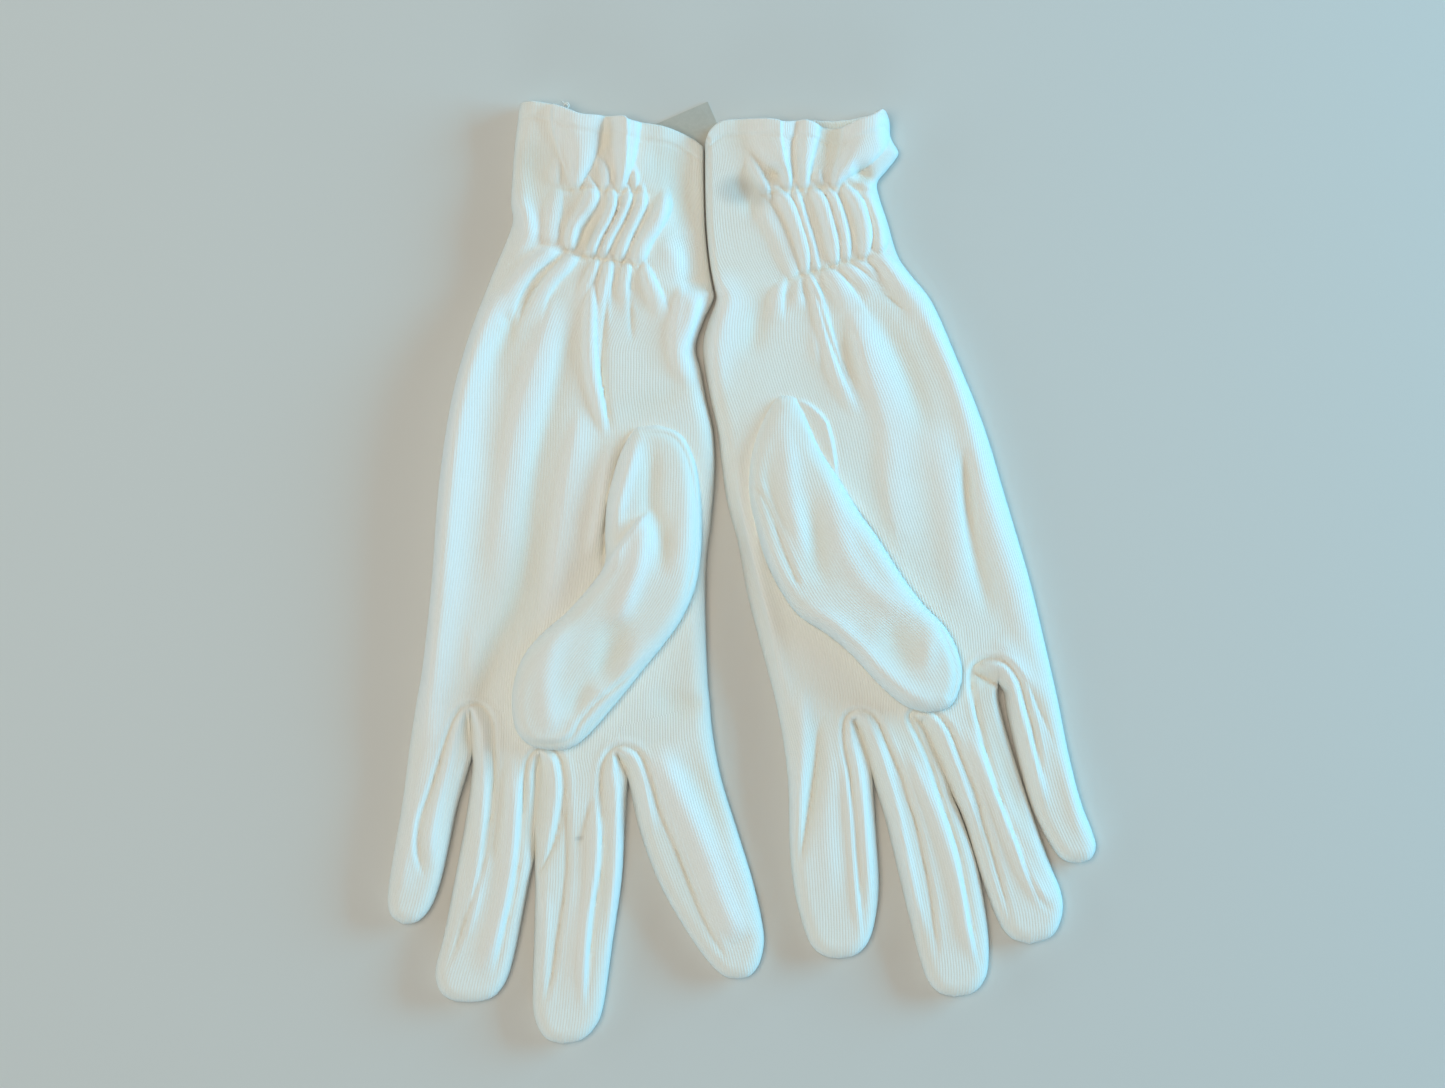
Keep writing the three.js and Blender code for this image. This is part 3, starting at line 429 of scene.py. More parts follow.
# Seams of the fourchettes: up one finger, over the crotch, down the next.  The palm's cloth is on
# the left of the line.
SEAMS = {
    "left": [
        [(-91.5, -90.4), (-93.4, -85), (-94.1, -79.2), (-93.4, -71.9), (-90.8, -64.7), (-87.9, -56),
         (-85.4, -48), (-83.2, -42.3), (-81.1, -39.6), (-77.8, -38.6), (-74.5, -40), (-72.6, -43.6),
         (-72.1, -50.2), (-72, -58.1), (-72.6, -68.3), (-73.8, -74.8), (-75.4, -85), (-77.9, -94.4),
         (-80.8, -103.1), (-84.3, -111.8), (-87.1, -117.6)],
        [(-73.1, -120.9), (-70.9, -112.9), (-68.7, -103.1), (-66.9, -95.8), (-65.5, -87.9),
         (-64.4, -77.7), (-63.5, -66.1), (-62.7, -58.1), (-61.7, -53.9), (-59.4, -51.6),
         (-55.7, -51.6), (-53.1, -53.2), (-51.7, -57.8), (-51.2, -65.4), (-50.8, -74.8),
         (-50.8, -85), (-51.5, -93.7), (-52.6, -100.9), (-53.9, -108.9), (-55, -116.1),
          (-56.8, -123.4), (-58.6, -128.5)],
        [(-44.8, -130.6), (-44.7, -121.2), (-44.2, -112.5), (-43, -99.5), (-41.2, -89.3), (-40.5, -83.5),
         (-40.6, -74.8), (-41, -67.6), (-40.9, -59.6), (-39.7, -54.2), (-37.2, -51.3), (-33.6, -50.8),
         (-30.3, -52.3), (-27.8, -56), (-26, -61), (-24.6, -66.8), (-23.1, -71.2), (-20.5, -77),
         (-17.3, -85), (-13.6, -94.4), (-10, -102.4), (-6, -110.3), (-3.5, -114.7)],
    ],
    "right": [
        [(36.5, -110), (35.4, -103.8), (34.4, -95.1), (33.6, -85.7), (32.9, -76.3), (32, -66.1),
         (31.2, -57.4), (30, -50.9), (29.6, -45.8), (30, -42.6), (32, -40.6), (34.9, -40.4),
         (37.8, -41.6), (40, -44.4), (41.8, -48.7), (44, -53.8), (46.5, -59.6), (48.4, -66.1),
         (50.5, -72.6), (52.3, -80.6), (53.8, -87.9), (55.2, -95.8), (56.1, -103.8), (56.7, -109.6),
          (56.1, -115.4)],
        [(71.6, -117.6), (69, -112.5), (67.2, -104.5), (65.8, -96.6), (64.3, -87.9), (62.9, -81.3),
         (61, -74.8), (59.2, -69.7), (57.1, -63.2), (54.5, -55.2), (51.6, -48.7), (49.4, -44.4),
         (48.6, -41.6), (50.5, -39.9), (53.8, -40), (57.4, -42.2), (60.7, -46.5), (63.2, -52.3),
         (65.4, -58.1), (67.6, -63.2), (69, -67.6), (70.1, -72.6), (72.3, -79.2), (74.1, -85.7),
         (75.5, -91.5), (77.7, -99.5), (79.9, -106.7)],
        [(91.9, -99.8), (87.9, -96.6), (85, -91.5), (82.4, -85), (80.6, -79.2), (77.7, -71.9),
         (74.8, -64.7), (72.6, -57.4), (70.5, -50.2), (68.7, -42.9), (67.4, -37.1), (66.5, -32),
         (67, -28.1), (69, -26), (72.6, -25.4), (76.3, -26.2), (79, -28.8), (81.1, -32.8), (82.6, -38.6),
         (84.4, -45.1), (85.7, -51.6), (86.8, -57.4), (87.3, -61.8)],
    ],
}
FINGER_CREASES = {
    "left": [
        [(-80, -41.3, -1.6, 1.2), (-79.6, -45.8, -2, 1.4), (-79, -49.8, -1.6, 1.2),
         (-78.5, -53.2, -1, 0.8)],
        [(-59.2, -53.2, -1.6, 1.3), (-59.6, -58.1, -2.4, 1.7), (-60, -65.4, -2.4, 1.8),
         (-60.6, -74.8, -2, 1.5), (-60.5, -83.2, -1, 1)],
        [(-36.1, -53.2, -1.6, 1.1), (-34.9, -55.4, -2, 1.2), (-33.6, -57.6, -1.6, 1.1),
         (-33.2, -59.6, -1, 0.8)],
        [(-51.5, -63.2, 0, 1), (-52.8, -71.9, -1.1, 1), (-55, -79.9, -1.1, 1), (-57.9, -86.4, -0.9, 1),
         (-59, -89.3, 0, 1)],
        [(-43.6, -64.7, 0, 1.1), (-44.7, -70.5, -0.9, 1.1), (-46.5, -77, -0.7, 1.1),
         (-48.3, -81.3, 0, 1.1)],
        [(-32.5, 40.1, -0.3, 1), (-36.1, 32.5, -1.3, 1.5), (-38.9, 21.6, -1.8, 1.5),
         (-39.9, 10.7, -2.2, 1.4), (-40.2, 2.6, -1.2, 1)],
    ],
    "right": [
        [(32.5, -43.5, -1.6, 1.1), (34.4, -46.9, -2, 1.2), (36.2, -53.1, -1.6, 1.1),
         (38, -59.6, -1, 0.8)],
        [(50.5, -42.6, -1.6, 1.1), (53.4, -45.8, -2, 1.4), (56.7, -53.1, -2.2, 1.6),
         (59.2, -58.9, -1.8, 1.3), (61.4, -65.4, -1, 0.9)],
        [(67.9, -29.5, -1.8, 1.1), (70.1, -30.7, -2.2, 1.3), (72.6, -32, -1.8, 1.1),
         (74.8, -32.9, -1, 0.8)],
        [(79.8, -27.7, 0, 1), (83.5, -33.5, -0.8, 1), (86.4, -40, -0.8, 1.1), (89.2, -46.5, -0.5, 1.1),
         (91.6, -53.1, 0, 1.1)],
        [(23.3, -41.6, 0, 1.6), (22, -47.3, -1.1, 2), (21.6, -55.2, -1.9, 2.2), (20.4, -63.9, -2.1, 2.2),
         (18.8, -73.4, -1.8, 1.8), (17.7, -80.6, -1.2, 1.4), (17.3, -85.7, 0, 1.2)],
    ],
}
FINGER_SOFT = {
    "left": [
        fold_rows(0.7, 3, (-86.9, -38.6), (-89.4, -48), (-91.9, -59.6), (-95.2, -73.4),
                  (-97.7, -86.4), (-98.5, -95.8)),
        fold_rows(0.9, 1.7, (-80.3, -106.7), (-78, -94.4), (-76, -80.6), (-75.1, -64.7),
                  (-75, -53.1), (-75.7, -44.4), (-79.2, -40), (-82.1, -43.6), (-83.8, -49.4),
                  (-86, -58.1), (-88.4, -66.8), (-90.5, -77.7), (-90.5, -86.4)),
        fold_rows(1, 2.2, (-66.7, -51.6), (-66.3, -63.2), (-66.6, -74.8), (-67.6, -85),
                  (-69.5, -96.6), (-72.4, -107.4), (-76, -117.6)),
        fold_rows(-0.7, 2, (-68.7, -52.3), (-70.2, -60.3), (-70.6, -68.3), (-72.4, -79.2),
                  (-73.1, -85)),
        fold_rows(0.9, 1.4, (-61.5, -74.8), (-61.2, -64.7), (-61, -56.7), (-58.6, -52.6),
                  (-55, -55.2), (-54.1, -63.2), (-55.4, -73.4), (-57.9, -83.5)),
        fold_rows(0.6, 2, (-58, -92.2), (-57.1, -99.5), (-57.5, -114), (-58.6, -124.1)),
        fold_rows(0.4, 2.6, (-48.4, -85), (-47.7, -99.5), (-49.2, -114), (-50.6, -127)),
        fold_rows(1, 1.5, (-42.2, -65.4), (-42, -74.8), (-42.8, -85), (-43.9, -93.7),
                  (-45.1, -103.1), (-45.9, -114), (-46.5, -127.7)),
        fold_rows(0.9, 1.6, (-39.4, -119.8), (-37.9, -99.5), (-36.1, -81.3), (-36.8, -64.7),
                  (-37.7, -57.4), (-35.7, -52.3), (-31.8, -53.2), (-28.9, -59.6), (-27.1, -67.6),
                  (-25.2, -76.3)),
        fold_rows(1.5, 4, (-26, -50.2), (-22.3, -57.4), (-18, -65.4), (-13.5, -74.8), (-9.9, -83.5),
                  (-7, -92.2), (-3.1, -101.6), (-0.6, -107.4)),
        fold_rows(-0.7, 4, (-18.7, -51.6), (-12.2, -61), (-7.1, -71.9), (-3.5, -80.6)),
        fold_rows(1.2, 2, (-37.4, 38.3), (-39.1, 28.9), (-40.5, 19.4), (-42.3, 10.7), (-44.1, 3.5)),
    ],
    "right": [
        fold_rows(0.9, 2.4, (17.9, -31.3), (17.5, -41.5), (17.7, -53.1), (16.2, -67.6),
                  (15.5, -80.6)),
        fold_rows(0.4, 3, (25.9, -40), (25.9, -53.1), (24.8, -69), (25.5, -84.2), (25.5, -98)),
        fold_rows(0.7, 1.2, (29.6, -53.1), (31.3, -66.1), (32.5, -80.6), (33.6, -95.1),
                  (34.8, -105.3)),
        fold_rows(0.8, 1.6, (37, -99.5), (36.4, -83.5), (34.9, -66.1), (32.8, -54.5), (31.2, -47.3),
                  (32.8, -41.6), (36.1, -42.8), (38.9, -48.7), (41.8, -57.4), (45.1, -69),
                  (47.3, -80.6), (50.2, -95.1), (53.1, -106)),
        fold_rows(1, 2, (47.3, -50.2), (51.6, -59.6), (55.6, -69), (58.7, -77.7), (61.3, -85.7),
                  (63.7, -95.1), (65.4, -104.5), (67.7, -113.2)),
        fold_rows(0.8, 1.5, (50.2, -41.6), (54.5, -41.6), (58.1, -45.8), (61, -53.1), (63.9, -60.3),
                  (66.1, -67.6), (69, -77.7)),
        fold_rows(1, 2, (64.7, -44.4), (68.3, -53.1), (71.9, -61.8), (75.3, -69.7), (78.7, -78.4),
                  (82.4, -86.4), (86.4, -92.9), (89.3, -96.6)),
        fold_rows(0.3, 2, (71.2, -108.2), (74.8, -102.4), (73.4, -92.2), (69.7, -80.6)),
        fold_rows(0.9, 1.5, (68.3, -27.1), (72.6, -26.7), (75.9, -28), (78.6, -32.8), (80.8, -40.7),
                  (83.5, -50.2), (85.7, -58.9), (88.6, -69)),
        fold_rows(0.7, 2.4, (92.9, -50.2), (95.5, -60.3), (97.3, -69.7), (99.1, -77.7)),
        fold_rows(-0.6, 2, (71.9, -41.5), (76.3, -56), (80.6, -69), (85.7, -80.6)),
    ],
}
# Soft swells and hollows on the thumbs, and their sewn lines.
THUMB_SOFT = {
    "left": [
        fold_rows(1.5, 2.4, (-30.2, 40.8), (-31.8, 33.9), (-33.9, 26), (-36, 18.7), (-37.4, 10.7)),
        fold_rows(-1.1, 2.6, (-25.8, 39.7), (-26.1, 28.9), (-26.4, 19.4), (-23.8, 12.9),
                  (-22.6, 6.4), (-23.8, -2.3)),
        fold_rows(0.6, 3, (-18, 32.5), (-16.8, 16.5), (-18.3, 6.4), (-20.2, -3.8)),
        fold_rows(1.5, 2.8, (-27.8, 15.8), (-28.7, 9.3), (-30.4, 0.6), (-33.6, -8.1),
                  (-36.5, -15.4)),
        fold_rows(-1.5, 4.2, (-37.6, -12.5), (-37.2, -20.4), (-39, -28.4), (-41.2, -34.2)),
        fold_rows(1.1, 3.4, (-49.2, -12.5), (-54.6, -21.9), (-56.4, -31.3), (-55.3, -42.2),
                  (-53.5, -46.5)),
        [(-43.4, -28.4, 0, 2.6), (-47, -36.4, -0.9, 2.6), (-49.2, -42.9, 0, 2.6)],
        fold_rows(0.6, 2.6, (-26.7, -18.3), (-32.5, -24.1), (-38.3, -29.9), (-43.4, -35.7)),
    ],
    "right": [
        fold_rows(1, 3, (11.4, 47.7), (12.9, 34.7), (13.9, 23.8), (15.9, 12.2), (19, 2)),
        fold_rows(-0.8, 2, (7, 34.7), (8.1, 23.8), (11, 15.8), (13.9, 9.3)),
        fold_rows(0.5, 2, (3.8, 18.7), (6.7, 9.3), (11, -0.9), (16.1, -8.8)),
        fold_rows(-0.9, 2.8, (19, 25.2), (20.6, 12.9), (22, 2), (24.8, -5.9)),
        fold_rows(1, 3.4, (24.1, 27.4), (27.3, 15.1), (30.6, 4.9), (35.7, -3), (42.9, -8.8),
                  (50.2, -12.5)),
        fold_rows(1.2, 3.2, (16.8, -10.3), (25.5, -14.3), (33.1, -21.9), (40, -29.1), (47.3, -34.6),
                  (56, -37.8)),
        [(40, -14.6, 0, 4), (43.6, -19, -1.2, 4.6), (46.5, -24.1, -1.2, 4.6), (48.7, -29.1, 0, 4)],
        [(54.2, -15.4, 0, 2.6), (53.6, -22.6, 0.8, 2.6), (52.3, -31.3, 0, 2.6)],
        fold_rows(0.6, 1.6, (16.1, 46.3), (20.4, 39), (24.8, 33.2), (30.6, 23.8), (37.1, 13.6),
                  (45.8, 2)),
    ],
}
THUMB_LIPS = {
    "left": [
        [(-26.7, 18, 0, 2), (-28, 16.5, 1.2, 3), (-29.9, 14.8, 2, 4), (-32.6, 11.3, 2.2, 5),
         (-36.2, 6.4, 2.2, 5), (-39.7, 1.9, 1.4, 4)],
    ],
    "right": [
    ],
}
THUMB_SEAMS = {
    "left": [
        [(-63.1, -47.7), (-59.3, -49.3), (-52.8, -49.3), (-49, -47.3), (-46.3, -42.8), (-41.9, -37.7),
         (-36.8, -33.5), (-32.5, -29.9), (-28.1, -25.9), (-24.9, -23.1)],
        [(-47.1, -48.6), (-43.2, -43.4), (-38.3, -38.4), (-32.5, -33.3), (-28, -28.6), (-24.5, -24.4)],
        [(-29.6, 39.7), (-23.8, 40.3), (-19.4, 38.6), (-16.4, 34.2), (-14.4, 27.4), (-13.3, 20.2),
         (-13, 12.2), (-13.6, 4.2), (-15.1, -3), (-16.7, -9.6)],
    ],
    "right": [
        [(3.9, 25.2), (6.3, 20.9), (10.3, 11.5), (13.9, 2), (16.8, -5.2)],
        [(56.4, -15), (59.2, -20.4), (61.5, -27.7), (61.2, -33.5), (59.3, -37.4)],
        [(58.3, -15.4), (61, -21.2), (62.6, -27.7), (62.3, -32.8)],
    ],
}
# The part of the sewn thumb oval that shows beside the right thumb, and its raised edge.
OVAL_EDGE = {
    "left": [
    ],
    "right": [
        [(13.6, 50.3, 0, 2), (18.3, 49.3, 1.3, 2.5), (22, 46.7, 1.7, 3), (24.6, 43.4, 1.8, 3.5),
         (26.2, 38.3, 1.8, 4), (27.1, 32.5, 1.5, 3), (27.5, 27.8, 0.6, 2)],
    ],
}

# The strips between the fingers: from the top of each crotch to where the two fingers part.
WEBS = {
    "left": [[(-79, -38.6), (-78.8, -56)], [(-58.9, -51), (-60.5, -84)], [(-36.1, -51), (-33.4, -62)]],
    "right": [[(33.5, -41), (38.6, -62)], [(52.1, -42), (61.2, -67)], [(70, -27), (75, -35)]],
}

# Grey marks, a real stain on the left middle finger and painted shadows of the woven labels
# inside the cuffs, seen through the cloth: middle x, y, half width, half height, strength.
STAINS_AND_SHADOWS = {
    "left": [(-61, 120.5, 5, 4.5, 0.07), (-47.3, -77.4, 1.0, 0.8, 0.5)],
    "right": [(-1.5, 110.8, 5.6, 4.2, 0.42), (4.5, 109.5, 5, 3.2, 0.2)],
}

# Loose thread ends: x, y and height above the cloth's middle layer for each bend.
THREADS = {
    "left": [
        [(-52.5, 137, 5.2), (-51.6, 136.1, 6.4), (-50.6, 136.2, 6.8), (-49.9, 134.9, 7.4)],
        [(-52.0, 134.6, 7.2), (-51.2, 135.8, 7.6), (-50.4, 135.0, 7.8), (-50.9, 134.2, 7.6)],
        [(-18.5, 86.1, 4.4), (-19.8, 85.4, 5.2), (-20.9, 83.4, 5.6), (-22.3, 81.8, 6.2)],
    ],
    "right": [
        [(38.6, 133.5, 5.6), (39.9, 133.6, 5.8), (40.8, 132.4, 5.4), (41.6, 132.6, 4.9)],
        [(39.2, 132.2, 5.4), (40.6, 131.6, 5.6), (41.9, 131.4, 5.0), (42.9, 130.1, 4.4)],
        [(38.9, 133.0, 5.2), (40.3, 134.0, 5.4), (41.4, 133.6, 5.0)],
    ],
}


# ---------------------------------------------------------------- lines and distances


def through(points, steps=5):
    """A smooth line through rows of numbers: Catmull-Rom, sampled steps times between rows."""
    rows = np.asarray(points, float)
    padded = np.vstack([2 * rows[0] - rows[1], rows, 2 * rows[-1] - rows[-2]])
    a, b, c, d = (padded[k:len(rows) - 1 + k, None, :] for k in range(4))
    t = (np.arange(steps) / steps)[None, :, None]
    spots = 0.5 * (2 * b + (c - a) * t + (2 * a - 5 * b + 4 * c - d) * t**2
                   + (3 * b - a - 3 * c + d) * t**3)
    return np.vstack([spots.reshape(-1, rows.shape[1]), rows[-1:]])


def at_shares(line, shares):
    """Points at shares 0 to 1 of a line's length."""
    lengths = np.r_[0, np.cumsum(np.linalg.norm(np.diff(line[:, :2], axis=0), axis=1))]
    want = np.asarray(shares) * lengths[-1]
    return np.stack([np.interp(want, lengths, line[:, k]) for k in range(line.shape[1])], axis=-1)


def measure(spots, line):
    """Signed distance of each spot from a line, positive on its left, with the line's other
    columns and the share of its points reached at the nearest place."""
    a, b = line[:-1, :2], line[1:, :2]
    run = b - a
    rel_x = spots[:, None, 0] - a[None, :, 0]
    rel_y = spots[:, None, 1] - a[None, :, 1]
    t = (rel_x * run[:, 0] + rel_y * run[:, 1]) / np.maximum((run**2).sum(1), 1e-9)
    t = np.clip(t, 0, 1)
    far = (rel_x - t * run[:, 0])**2 + (rel_y - t * run[:, 1])**2
    pick = far.argmin(1)
    rows = np.arange(len(spots))
    t = t[rows, pick]
    side = run[pick, 0] * rel_y[rows, pick] - run[pick, 1] * rel_x[rows, pick]
    distance = np.sqrt(far[rows, pick]) * np.where(side < 0, -1, 1)
    extra = line[pick, 2:] * (1 - t)[:, None] + line[pick + 1, 2:] * t[:, None]
    return distance, extra, (pick + t) / len(a)


def near(spots, line, reach):
    """Which spots lie within a line's box grown by reach."""
    low, high = line[:, :2].min(0) - reach, line[:, :2].max(0) + reach
    return np.flatnonzero(((spots > low) & (spots < high)).all(1))


def smooth(value):
    """0 below 0, 1 above 1, and an even S between."""
    value = np.clip(value, 0, 1)
    return value * value * (3 - 2 * value)


def folds(spots, lines, shape, join="sum"):
    """The height that folds give: each line's own height times a shape of distance over width,
    added together or, for rolls that press on each other, the highest one."""
    total = np.zeros(len(spots))
    for points in lines:
        line = through(points)
        reach = 3.2 * line[:, 3].max()
        chosen = near(spots, line, reach)
        if not len(chosen):
            continue
        distance, extra, _ = measure(spots[chosen], line)
        rise = extra[:, 0] * shape(distance / np.maximum(extra[:, 1], 0.2))
        if join == "sum":
            total[chosen] += rise
        else:
            total[chosen] = np.maximum(total[chosen], rise)
    return total


def bump(x):
    """Soft bump: the bell curve of x."""
    return np.exp(-x * x)


def notch(x):
    """Sharp groove that fades both ways."""
    return np.exp(-1.3 * np.abs(x))


def leaf(x):
    """A fold that leans: steep and round on the line's left, easing down to its right."""
    steep = np.sqrt(np.clip(1 - x * x, 0, 1))
    easing = np.cos(np.clip(x / 1.4, -1, 0) * math.pi / 2)**2
    return np.where(x > 0, steep, easing)


def drape(x):
    """A soft fold that leans the other way: gentle on the line's left and steep on its right."""
    return np.where(x > 0, np.exp(-1.2 * x * x), np.exp(-(x / 0.42)**2))


def lip(x):
    """Edge of an overlying layer: steps up just left of the line and fades away from it."""
    return smooth(x * 4 + 0.5) * np.exp(-np.clip(x, 0, None))


def seams(spots, lines, depth, welt):
    """A sewn line: a narrow groove with a raised welt on its left and lower cloth on its right."""
    total = np.zeros(len(spots))
    for points in lines:
        line = through(points)
        chosen = near(spots, line, 12)
        if not len(chosen):
            continue
        s, _, share = measure(spots[chosen], line)
        fade = smooth(share / 0.1) * smooth((1 - share) / 0.12)
        groove = -depth * notch(s / 0.9)
        raised = welt * bump((s - 1.6) / 0.9)
        lower = -0.5 * welt * smooth(-s / 0.8) * np.exp(np.clip(s, None, 0) / 4)
        total[chosen] += fade * (groove + raised + lower)
    return total


def edge_share(spots, lines):
    """How far each spot is from the nearest edge, as a share of that edge's own radius."""
    total = np.full(len(spots), 2.0)
    for line in lines:
        chosen = near(spots, line, 2 * line[:, 2].max())
        if len(chosen):
            distance, extra, _ = measure(spots[chosen], line)
            total[chosen] = np.minimum(total[chosen], np.abs(distance) / extra[:, 0])
    return total


def quarter(share):
    """0 at an edge, rising round to 1 at one radius from it."""
    return np.sqrt(np.clip(1 - (1 - np.clip(share, 0, 1))**2, 0, 1))


def waver(spots, size, seed):
    """Gentle unevenness of laid cloth: six crossing waves with fixed directions."""
    rng = np.random.default_rng(seed)
    total = np.zeros(len(spots))
    for _ in range(6):
        angle, phase, scale = rng.uniform(0, math.tau), rng.uniform(0, math.tau), rng.uniform(0.7, 1.6)
        run = spots[:, 0] * math.cos(angle) + spots[:, 1] * math.sin(angle)
        total += np.sin(run * math.tau / (size * scale) + phase)
    return total / 6


# ---------------------------------------------------------------- cloth heights


def outline_lines(side):
    """All the edges of a glove as smooth lines with the radius that the cloth rounds over at each
    point: wide along the outside, tighter where the two cuffs press together, tight in the
    crotches and changing down the fingers."""
    rails = RAILS[side]
    lines = []
    for rail, pressed in zip(rails["hand"], (side == "right", side == "left")):
        line = through(rail)
        drop = (OUTER_RADIUS - TIGHT_RADIUS) * pressed
        lines.append(np.c_[line, OUTER_RADIUS - drop * smooth((line[:, 1] - 79) / 5)])
    for finger in FINGERS[side]:
        for rail, outer in zip(rails[finger], (finger == FINGERS[side][0], finger == FINGERS[side][-1])):
            line = through(rail)
            run = np.r_[0, np.cumsum(np.linalg.norm(np.diff(line, axis=0), axis=1))]
            start = OUTER_RADIUS if outer else TIGHT_RADIUS
            lines.append(np.c_[line, start + (TIP_RADIUS - start) * smooth(run / RADIUS_RUN)])
    return lines


def body_height(side, spots, sizes):
    """Height of the palm side away from its edges: the hand's, falling along the fingers, and
    lifted a little over the card tag at the cuff.  The left cuff's right side is pressed low
    where it passes under the right glove."""
    y = spots[:, 1]
    finger = smooth((-30 - y) / 40)
    tip = np.clip((-60 - y) / 70, 0, 1)
    height = sizes.hand_height / MM * (1 - finger) + sizes.finger_height / MM * finger
    height = height - 1.2 * tip - 0.6 * smooth((y - 60) / 30) + 0.8 * smooth((y - 96) / 20)
    tucked = smooth((spots[:, 0] + 24) / 10) * (spots[:, 0] < -8) * smooth((y - 80) / 5)
    return height - (2.6 * tucked if side == "left" else 0)


def web_share(side, spots):
    """1 on the strips between the fingers, fading to 0 about 5 mm to each side and where the
    fingers part."""
    total = np.zeros(len(spots))
    for points in WEBS[side]:
        distance, _, share = measure(spots, at_shares(np.asarray(points, float), np.linspace(0, 1, 9)))
        total = np.maximum(total, bump(distance / 3.2) * smooth((1.02 - share) / 0.35))
    return total


def palm_heights(side, spots, sizes):
    """Palm side and back side of a glove at each spot.  Both meet at the middle height on the
    edges, and round away from it over the edge radius."""
    far = edge_share(spots, outline_lines(side))
    height = body_height(side, spots, sizes)
    middle = (MIDDLE_SHARE + WEB_RISE * web_share(side, spots)) * height
    detail = SOFT_GAIN * folds(spots, SOFT[side] + FINGER_SOFT[side], bump)
    detail += SOFT_GAIN * folds(spots, DRAPES[side], drape)
    detail += folds(spots, CREASES[side] + FINGER_CREASES[side], notch)
    detail += folds(spots, ELASTIC_ROWS[side], bump)
    detail += folds(spots, LEAVES[side], leaf, join="highest")
    detail += folds(spots, RAISED[side], lip)
    detail += folds(spots, OVAL_EDGE[side], lambda x: lip(-x))
    detail += seams(spots, SEAMS[side], SEAM_DEPTH, SEAM_WELT)
    detail += 0.22 * waver(spots, 17, 3)
    round_edge = quarter(far)
    top = middle + (height + detail - middle) * round_edge
    lift = 0.9 * smooth((spots[:, 1] - 78) / 14)
    low = lift + 0.15 + 0.12 * waver(spots, 23, 5)
    bottom = middle + (low - middle) * quarter(1.5 * far)
    top = np.maximum(top, bottom + 0.8 * round_edge)
    return top, bottom, detail


# ---------------------------------------------------------------- meshes


def spread(count, crowd):
    """Shares 0 to 1 that crowd toward both ends: crowd 0 is even, 1 is a half circle's."""
    even = np.linspace(0, 1, count)
    return (1 - crowd) * even + crowd * (0.5 - 0.5 * np.cos(math.pi * even))


def put_mesh(name, points, faces, uv=None, values=None, material=None):
    """A mesh object at the origin from points in millimetres, with smooth faces, a UV in metres
    along the cloth and one float attribute for each named row of values."""
    mesh = bpy.data.meshes.new(name)
    mesh.from_pydata(points * MM, [], faces)
    mesh.polygons.foreach_set("use_smooth", np.ones(len(mesh.polygons), bool))
    for key, row in (values or {}).items():
        attribute = mesh.attributes.new(key, "FLOAT", "POINT")
        attribute.data.foreach_set("value", row.astype(np.float32))
    if uv is not None:
        layer = mesh.uv_layers.new(name="UVMap")
        layer.data.foreach_set("uv", uv.astype(np.float32).ravel())
    mesh.update()
    if mesh.validate():
        raise RuntimeError(f"{name} had broken faces")
    obj = bpy.data.objects.new(name, mesh)
    bpy.context.scene.collection.objects.link(obj)
    if material:
        mesh.materials.append(material)
    return obj


def ring_faces(rows, around):
    """Quads of a closed tube of rows rings, with the row and column of each corner for its UV."""
    r, c = np.meshgrid(np.arange(rows - 1), np.arange(around), indexing="ij")
    r, c = r.ravel(), c.ravel()
    corner_rows = np.stack([r, r, r + 1, r + 1], axis=1)
    corner_cols = np.stack([c, c + 1, c + 1, c], axis=1)
    faces = corner_rows * around + corner_cols % around
    return faces, corner_rows, corner_cols


def even_out(rows, reach):
    """Each row's average with the rows up to reach before and after it."""
    padded = np.concatenate([np.zeros_like(rows[:1]), np.repeat(rows[:1], reach, axis=0), rows,
                             np.repeat(rows[-1:], reach, axis=0)])
    total = np.cumsum(padded, axis=0)
    return (total[2 * reach + 1:] - total[:-2 * reach - 1]) / (2 * reach + 1)


def glove_sizes():
    """The scene's size settings."""
    return bpy.context.scene.glove_sizes


def level_end(rings, values, row):
    """Repeats the ring at row 0 or -1 with every point at the height of the glove's outer edges,
    so that the fan that closes the tube lies inside its folds."""
    extra = rings[row][None].copy()
    extra[..., 2] = MIDDLE_SHARE * glove_sizes().hand_height / MM
    shade = values[row][None]
    if row:
        return np.concatenate([rings, extra]), np.concatenate([values, shade])
    return np.concatenate([extra, rings]), np.concatenate([shade, values])


